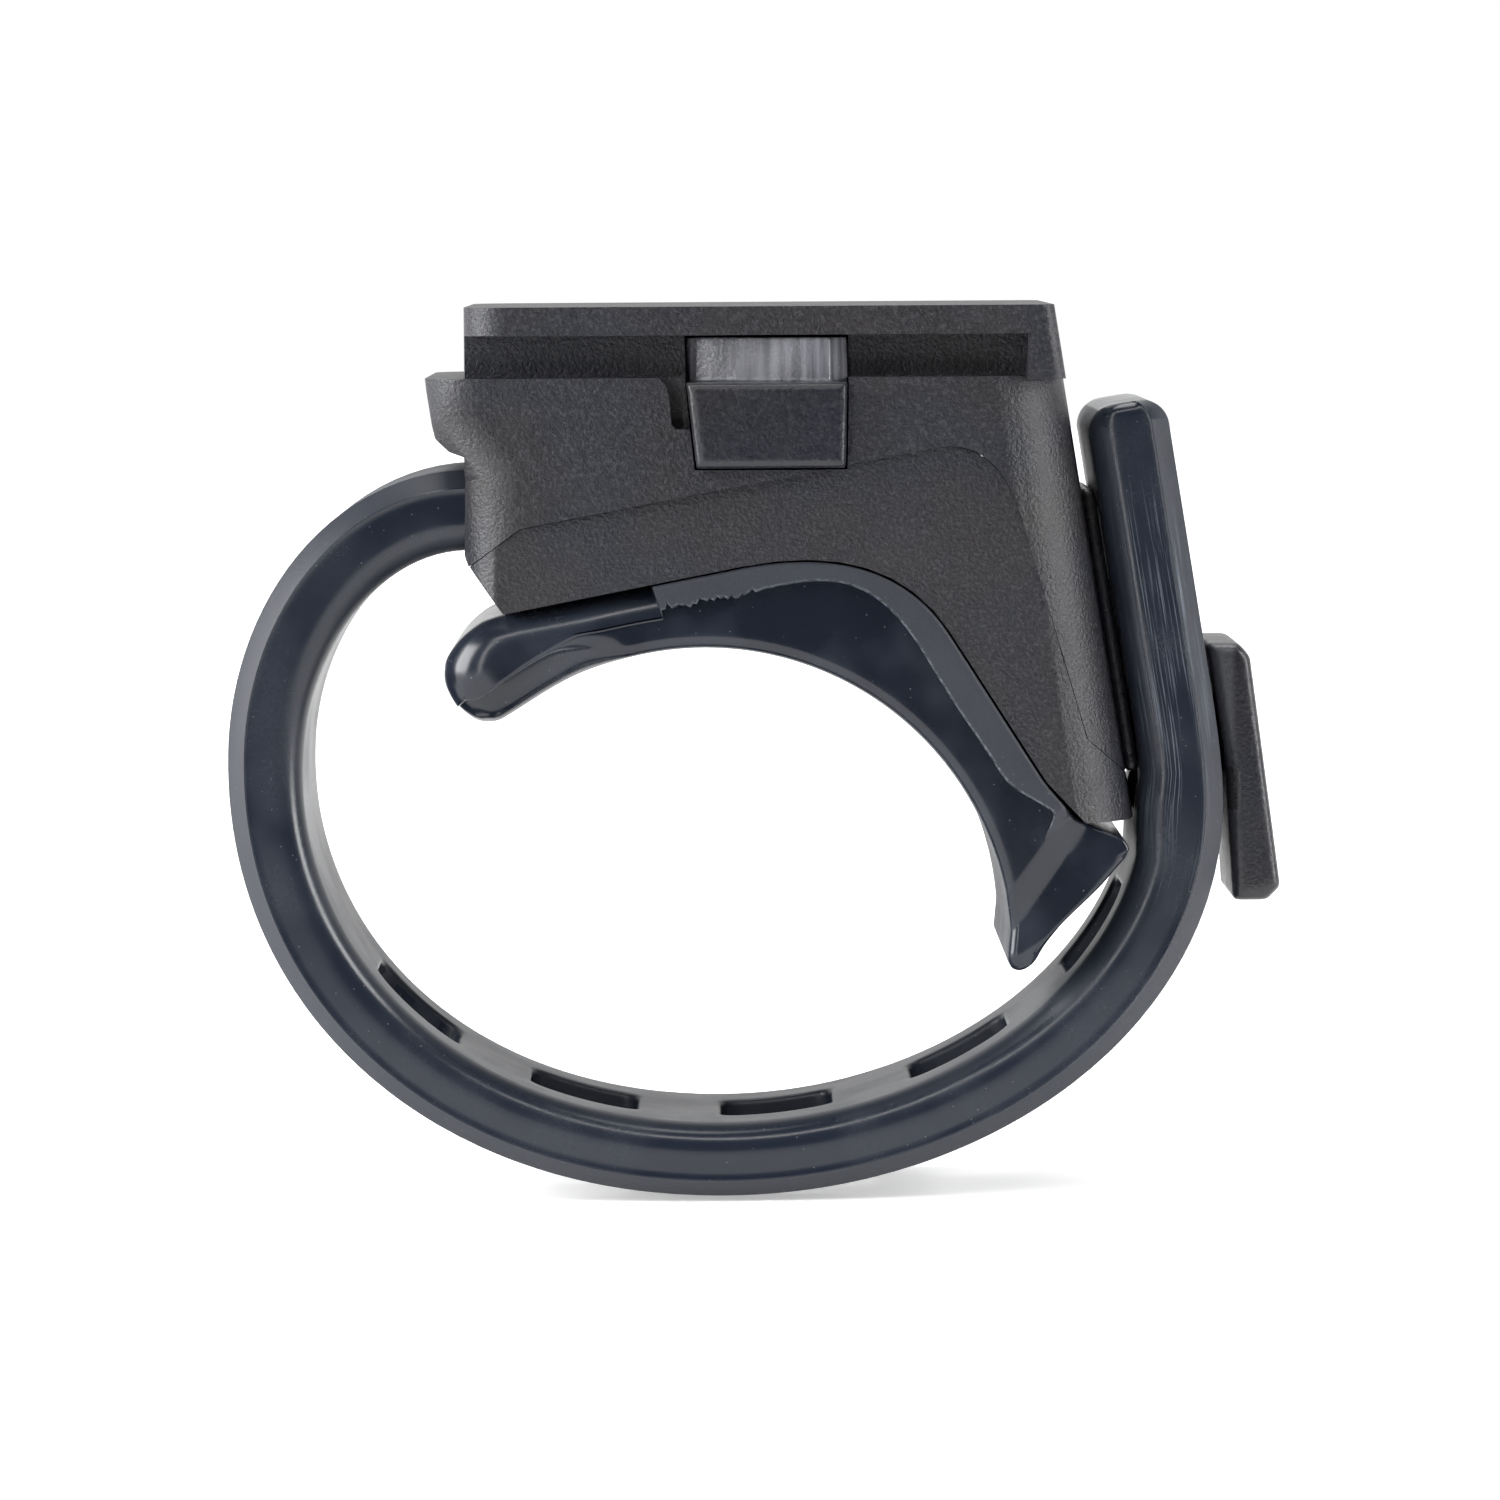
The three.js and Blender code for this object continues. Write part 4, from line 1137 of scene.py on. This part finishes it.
    def sections(self) -> tuple[np.ndarray, np.ndarray]:
        """Every section's outline on one side, as rows of points, with its marks.

        The outline runs from the seat's middle out to a rounded edge, up the side
        face, out over the flange's step and in over the top to the hidden bead.
        """
        inner, outer = self.outlines()
        across = outer - inner
        length = np.linalg.norm(across, axis=1)
        run = lengths((inner + outer) / 2)
        lobe = (inner + outer)[:, 0] / 2 < self.cut_x
        after = np.arange(len(lobe)) >= sum(self.columns[:4]) - 2
        foot = smoothstep(18.9, 19.6, outer[:, 0]) * (inner[:, 0] > 14)
        foot = np.maximum(foot, after)
        from_tip = np.clip(1 - run / 3.2, 0, 1)
        from_toe = np.clip(1 - (run[-1] - run) / 1.6, 0, 1)
        drawn = 2.0 * (1 - np.sqrt(1 - from_tip**2)) + 0.9 * (1 - np.sqrt(1 - from_toe**2))
        middle_x = (inner + outer)[:, 0] / 2
        swell = 1 - smoothstep(*self.tuck_end, middle_x)
        seat_radius = np.minimum(self.seat_round + swell * 0.9, 0.42 * length)
        top_radius = np.where(after, self.foot_round, self.flange_round)
        top_radius = np.minimum(np.where(lobe, self.lobe_round, top_radius), 0.5 * length)
        side = self.half - drawn - self.recess
        edge = side + np.where(lobe, 0.15, self.recess * (1 - foot))
        low_side = side - swell * self.tuck
        middle = np.minimum(self.flange_height(inner, length), length - top_radius - 0.1)
        middle = middle * (1 - foot) + 0.6 * length * foot
        rim = np.minimum(0.12, 0.3 * (length - middle))
        top = length - top_radius
        arch = 1 - np.maximum(foot, (run < 14) * 1.0)
        turn = np.linspace(0, math.pi / 2, 8)
        none = 0 * length
        rows = [(none, (low_side - seat_radius) * k, 1, 0) for k in (0, 0.4, 0.8, 0.95)]
        rows += [
            (
                seat_radius * (1 - math.cos(a)),
                low_side - seat_radius * (1 - math.sin(a)),
                max(0, 1 - 2 * a),
                0,
            )
            for a in turn
        ]
        for k in np.linspace(0.1, 1, 12):
            depth = seat_radius + (middle - seat_radius) * k
            rows.append((depth, low_side + (side - low_side) * math.sin(math.pi * k / 2), 0, 0))
        # the flange's lower edge is marked for lighter chips: scuffs, partly a painted highlight
        # along the edge
        rows.append((middle + rim * 0.15, side + (edge - side) * 0.75, 0.4, 1))
        rows.append((middle + rim, edge, 1, 0.8))
        rows.append((middle + rim * 1.6, edge, 1, 0))
        for k in (0.35, 0.7):
            rows.append((middle + rim * 1.6 + (top - middle - rim * 1.6) * k, edge, 1, 0))
        rows += [
            (top + top_radius * math.sin(a), edge - top_radius * (1 - math.cos(a)), 1, 0)
            for a in turn
        ]
        band = self.bead_half
        rows.append((length, none + band + 0.5, 0, 0))
        rows += [(length + self.bead * arch, none + y, 0, 0) for y in (band, band / 2, 0)]
        unit = across / np.maximum(length, 1e-6)[:, None]
        depth = np.stack([row[0] for row in rows])
        y = np.stack([row[1] for row in rows])
        x, z = (inner[None, :, i] + unit[None, :, i] * depth for i in (0, 1))
        y = y + self.facets(x, z) * np.clip(y / side, 0, 1) * (x > 14) * (y > 7)
        flange = np.where(depth > seat_radius, (1 - foot) * ~lobe, 1)
        marks = np.stack([np.array([row[i] for row in rows])[:, None] * flange for i in (2, 3)], -1)
        return np.stack([x, y, z], -1), marks

    def build(self) -> bpy.types.Object:
        """Builds the pad from its sections and their mirror image."""
        points, marks = self.sections()
        surface = Surface()
        for sign in (-1, 1):
            surface.grid(points * [1, sign, 1], marks=marks)
        piece = surface.build("saddle_pad_rubber", sharp=38)
        dress(piece, Slot.PAD)
        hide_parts("saddle_pad")
        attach(piece, "bracket")
        report(piece)
        return piece


# ------------------------------------------------------------------- the springs


@dataclass
class LatchSpring:
    """A wire spring from the centre rib to a button."""

    node: str
    name: str
    joint: str
    side: int  # -1 at the front button, +1 at the rear one
    wire: float = 0.4
    turns: float = 6.0
    travel: float = 1.7

    def build(self) -> bpy.types.Object:
        """A round wire carried along a helix with closed end turns.

        The pitch is drawn together over the first and last turn by a smooth step.
        """
        low, high = box_mm(self.node)
        centre = (low + high) / 2
        coil = (high[0] - low[0] - self.wire) / 2
        share = np.linspace(0, 1, 260)
        angle = share * self.turns * 2 * math.pi
        rise = 0.08 * share + 0.92 * smoothstep(0.12, 0.88, share)
        start, end = low[1] + self.wire / 2, high[1] - self.wire / 2
        y = start + (end - start) * rise / rise[-1]
        path = np.stack(
            [centre[0] + coil * np.cos(angle), y, centre[2] + coil * np.sin(angle)], -1
        )
        tangent = np.gradient(path, axis=0)
        tangent /= np.linalg.norm(tangent, axis=1)[:, None]
        radial = np.stack([np.cos(angle), 0 * angle, np.sin(angle)], -1)
        other = np.cross(tangent, radial)
        around = np.linspace(0, 2 * math.pi, 11)
        offset = (
            radial[:, None] * np.cos(around)[None, :, None]
            + other[:, None] * np.sin(around)[None, :, None]
        ) * (self.wire / 2)
        grid = path[:, None] + offset
        surface = Surface()
        surface.grid(grid)
        surface.disc(grid[0, :-1])
        surface.disc(grid[-1, :-1])
        piece = surface.build(self.name)
        dress(piece, Slot.SPRING)
        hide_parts(self.node)
        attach(piece, "bracket")
        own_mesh(piece)
        report(piece)
        return piece


# -------------------------------------------------------------------- the studio


@dataclass
class Studio:
    """Pale floor and backdrop, soft boxes and the camera."""

    eye: tuple[float, float, float] = (0.4, -411.0, 38.6)
    aim: tuple[float, float, float] = (2.4, -11.0, 10.8)
    roll: float = -0.35
    lens: float = 182.4
    lit: Place = (2, 0, 12)  # where the lamps face
    floor_reach: float = 4000.0  # to each side and to the back
    floor_front: float = -130.0
    floor_drop: float = 0.3  # below the object
    floor_glow: float = 0.38  # of the floor by the object, for its shine far off
    glow_from: tuple[float, float] = (0.15, 0.7)  # metres back where that shine grows
    wall_y: float = 1500.0
    wall_reach: float = 2600.0
    wall_height: tuple[float, float] = (-400.0, 2200.0)
    air: float = 0.04
    # name, place, size and watts of each lamp
    lamps: tuple = (
        ("left box", (-560, -130, 160), (420, 520), 9.5),
        ("left strip", (-250, -500, 120), (36, 560), 0.9),
        ("right box", (560, -150, 180), (200, 520), 4.5),
        ("front strip", (0, -430, 470), (560, 50), 1.2),
        ("top box", (40, 60, 620), (420, 420), 3.6),
    )

    def glow(self, name: str, colour: Colour, strength: float) -> bpy.types.Material:
        """A material that shines evenly."""
        graph = Graph(name)
        shine = graph.node(
            "ShaderNodeEmission", {}, {"Color": colour, "Strength": strength}
        )
        graph.node("ShaderNodeOutputMaterial", {}, {"Surface": shine.outputs[0]})
        return graph.material

    def sheet(self, name: str, corners: Sequence[Place]) -> bpy.types.Object:
        """A flat sheet between four corners, in millimetres."""
        mesh = bpy.data.meshes.new(name)
        mesh.from_pydata((np.array(corners) * MM).tolist(), [], [(0, 1, 2, 3)])
        made = placed(name, mesh)
        return made

    def soft_box(
        self, name: str, place: Place, size: tuple[float, float], power: float
    ) -> None:
        """An area light that faces the object.

        Args:
            name: The lamp's name.
            place: Its middle, in millimetres.
            size: Its width and height, in millimetres.
            power: Its strength, in watts.
        """
        data = bpy.data.lights.new(name, "AREA")
        data.shape = "RECTANGLE"
        data.size, data.size_y = size[0] * MM, size[1] * MM
        data.energy = power
        lamp = placed(name, data)
        lamp.location = [value * MM for value in place]
        self.face(lamp, place, self.lit)

    @staticmethod
    def face(thing: bpy.types.Object, place: Place, target: Place) -> None:
        """Turns a lamp or camera at a place towards a target."""
        way = Vector(target) - Vector(place)
        thing.rotation_euler = way.to_track_quat("-Z", "Y").to_euler()

    def camera(self) -> None:
        """A long lens, level with the rail and looking slightly down."""
        data = bpy.data.cameras.new("camera")
        data.lens = self.lens
        data.clip_start, data.clip_end = 0.02, 10
        eye = placed("camera", data)
        eye.location = [value * MM for value in self.eye]
        self.face(eye, self.eye, self.aim)
        eye.rotation_euler.rotate_axis("Z", math.radians(self.roll))
        bpy.context.scene.camera = eye

    def build(self) -> None:
        """Sets out the floor, the backdrop, the lights and the camera."""
        ground = CAD_BOX[0][2] / MM - self.floor_drop
        side, front, back = self.floor_reach, self.floor_front, self.floor_reach
        floor = self.sheet(
            "floor",
            [(-side, front, ground), (side, front, ground), (side, back, ground),
             (-side, back, ground)],
        )
        paper = Graph("pale paper")
        tone = paper.noise(paper.place(), 40.0)
        colour = paper.mix(tone, (0.86, 0.86, 0.86), (0.88, 0.88, 0.88))
        far = paper.axis("Y").step(*self.glow_from)
        floor.data.materials.append(
            paper.finish(
                Base_Color=colour, Roughness=0.9, Specular_IOR_Level=0.1,
                Emission_Color=paper.mix(far, (self.floor_glow,) * 3, (1.0, 1.0, 1.0)),
                Emission_Strength=1.0,
            )
        )
        side, y, (low, high) = self.wall_reach, self.wall_y, self.wall_height
        wall = self.sheet(
            "backdrop", [(-side, y, low), (side, y, low), (side, y, high), (-side, y, high)]
        )
        wall.data.materials.append(self.glow("backdrop glow", (1.0, 1.0, 1.0), 1.02))
        world = bpy.data.worlds.new("studio air")
        world.use_nodes = True
        background = world.node_tree.nodes["Background"]
        background.inputs[0].default_value = (0.92, 0.95, 1.0, 1)
        background.inputs[1].default_value = self.air
        bpy.context.scene.world = world
        for name, place, size, power in self.lamps:
            self.soft_box(name, place, size, power)
        bpy.context.scene.view_settings.view_transform = "Standard"
        self.camera()


# ---------------------------------------------------------------------------- main


MOULDINGS = (
    Moulding("upper_housing", "housing_moulding", "bracket", Slot.BODY, rounding=0.26),
    Moulding("lower_bracket", "bracket_moulding", "bracket", Slot.BODY, rounding=0.15),
    Moulding("strap_hook", "hook_moulding", "bracket", Slot.HOOK, voxel=0.13, passes=22),
    *(
        Moulding(
            f"latch_button_{row}", f"button_{row}", f"{row}_button", Slot.BUTTON,
            voxel=0.09, passes=4,
        )
        for row in ("front", "rear")
    ),
)


def dress_fasteners() -> None:
    """Gives the screws and the pin, whose shapes are kept, their plated finish."""
    for node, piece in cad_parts.items():
        if "screw" in node or node == "strap_anchor_pin":
            piece.data.materials.clear()
            piece.data.materials.append(FINISHES[Slot.SCREW].material())


def springs() -> list[LatchSpring]:
    """The four latch springs."""
    found = []
    for row, side in (("front", -1), ("rear", 1)):
        for hand in ("left", "right"):
            found.append(
                LatchSpring(
                    f"latch_spring_{row}_{hand}", f"spring_{row}_{hand}",
                    f"{row}_button_press", side,
                )
            )
    return found


def main() -> None:
    """Builds the camera, the studio and every piece."""
    logging.basicConfig(level=logging.INFO)
    Studio().build()
    for moulding in MOULDINGS:
        moulding.build()
    RubberStrap().build()
    SaddlePad().build()
    for spring in springs():
        spring.build()
    dress_fasteners()


if __name__ == "__main__":
    main()
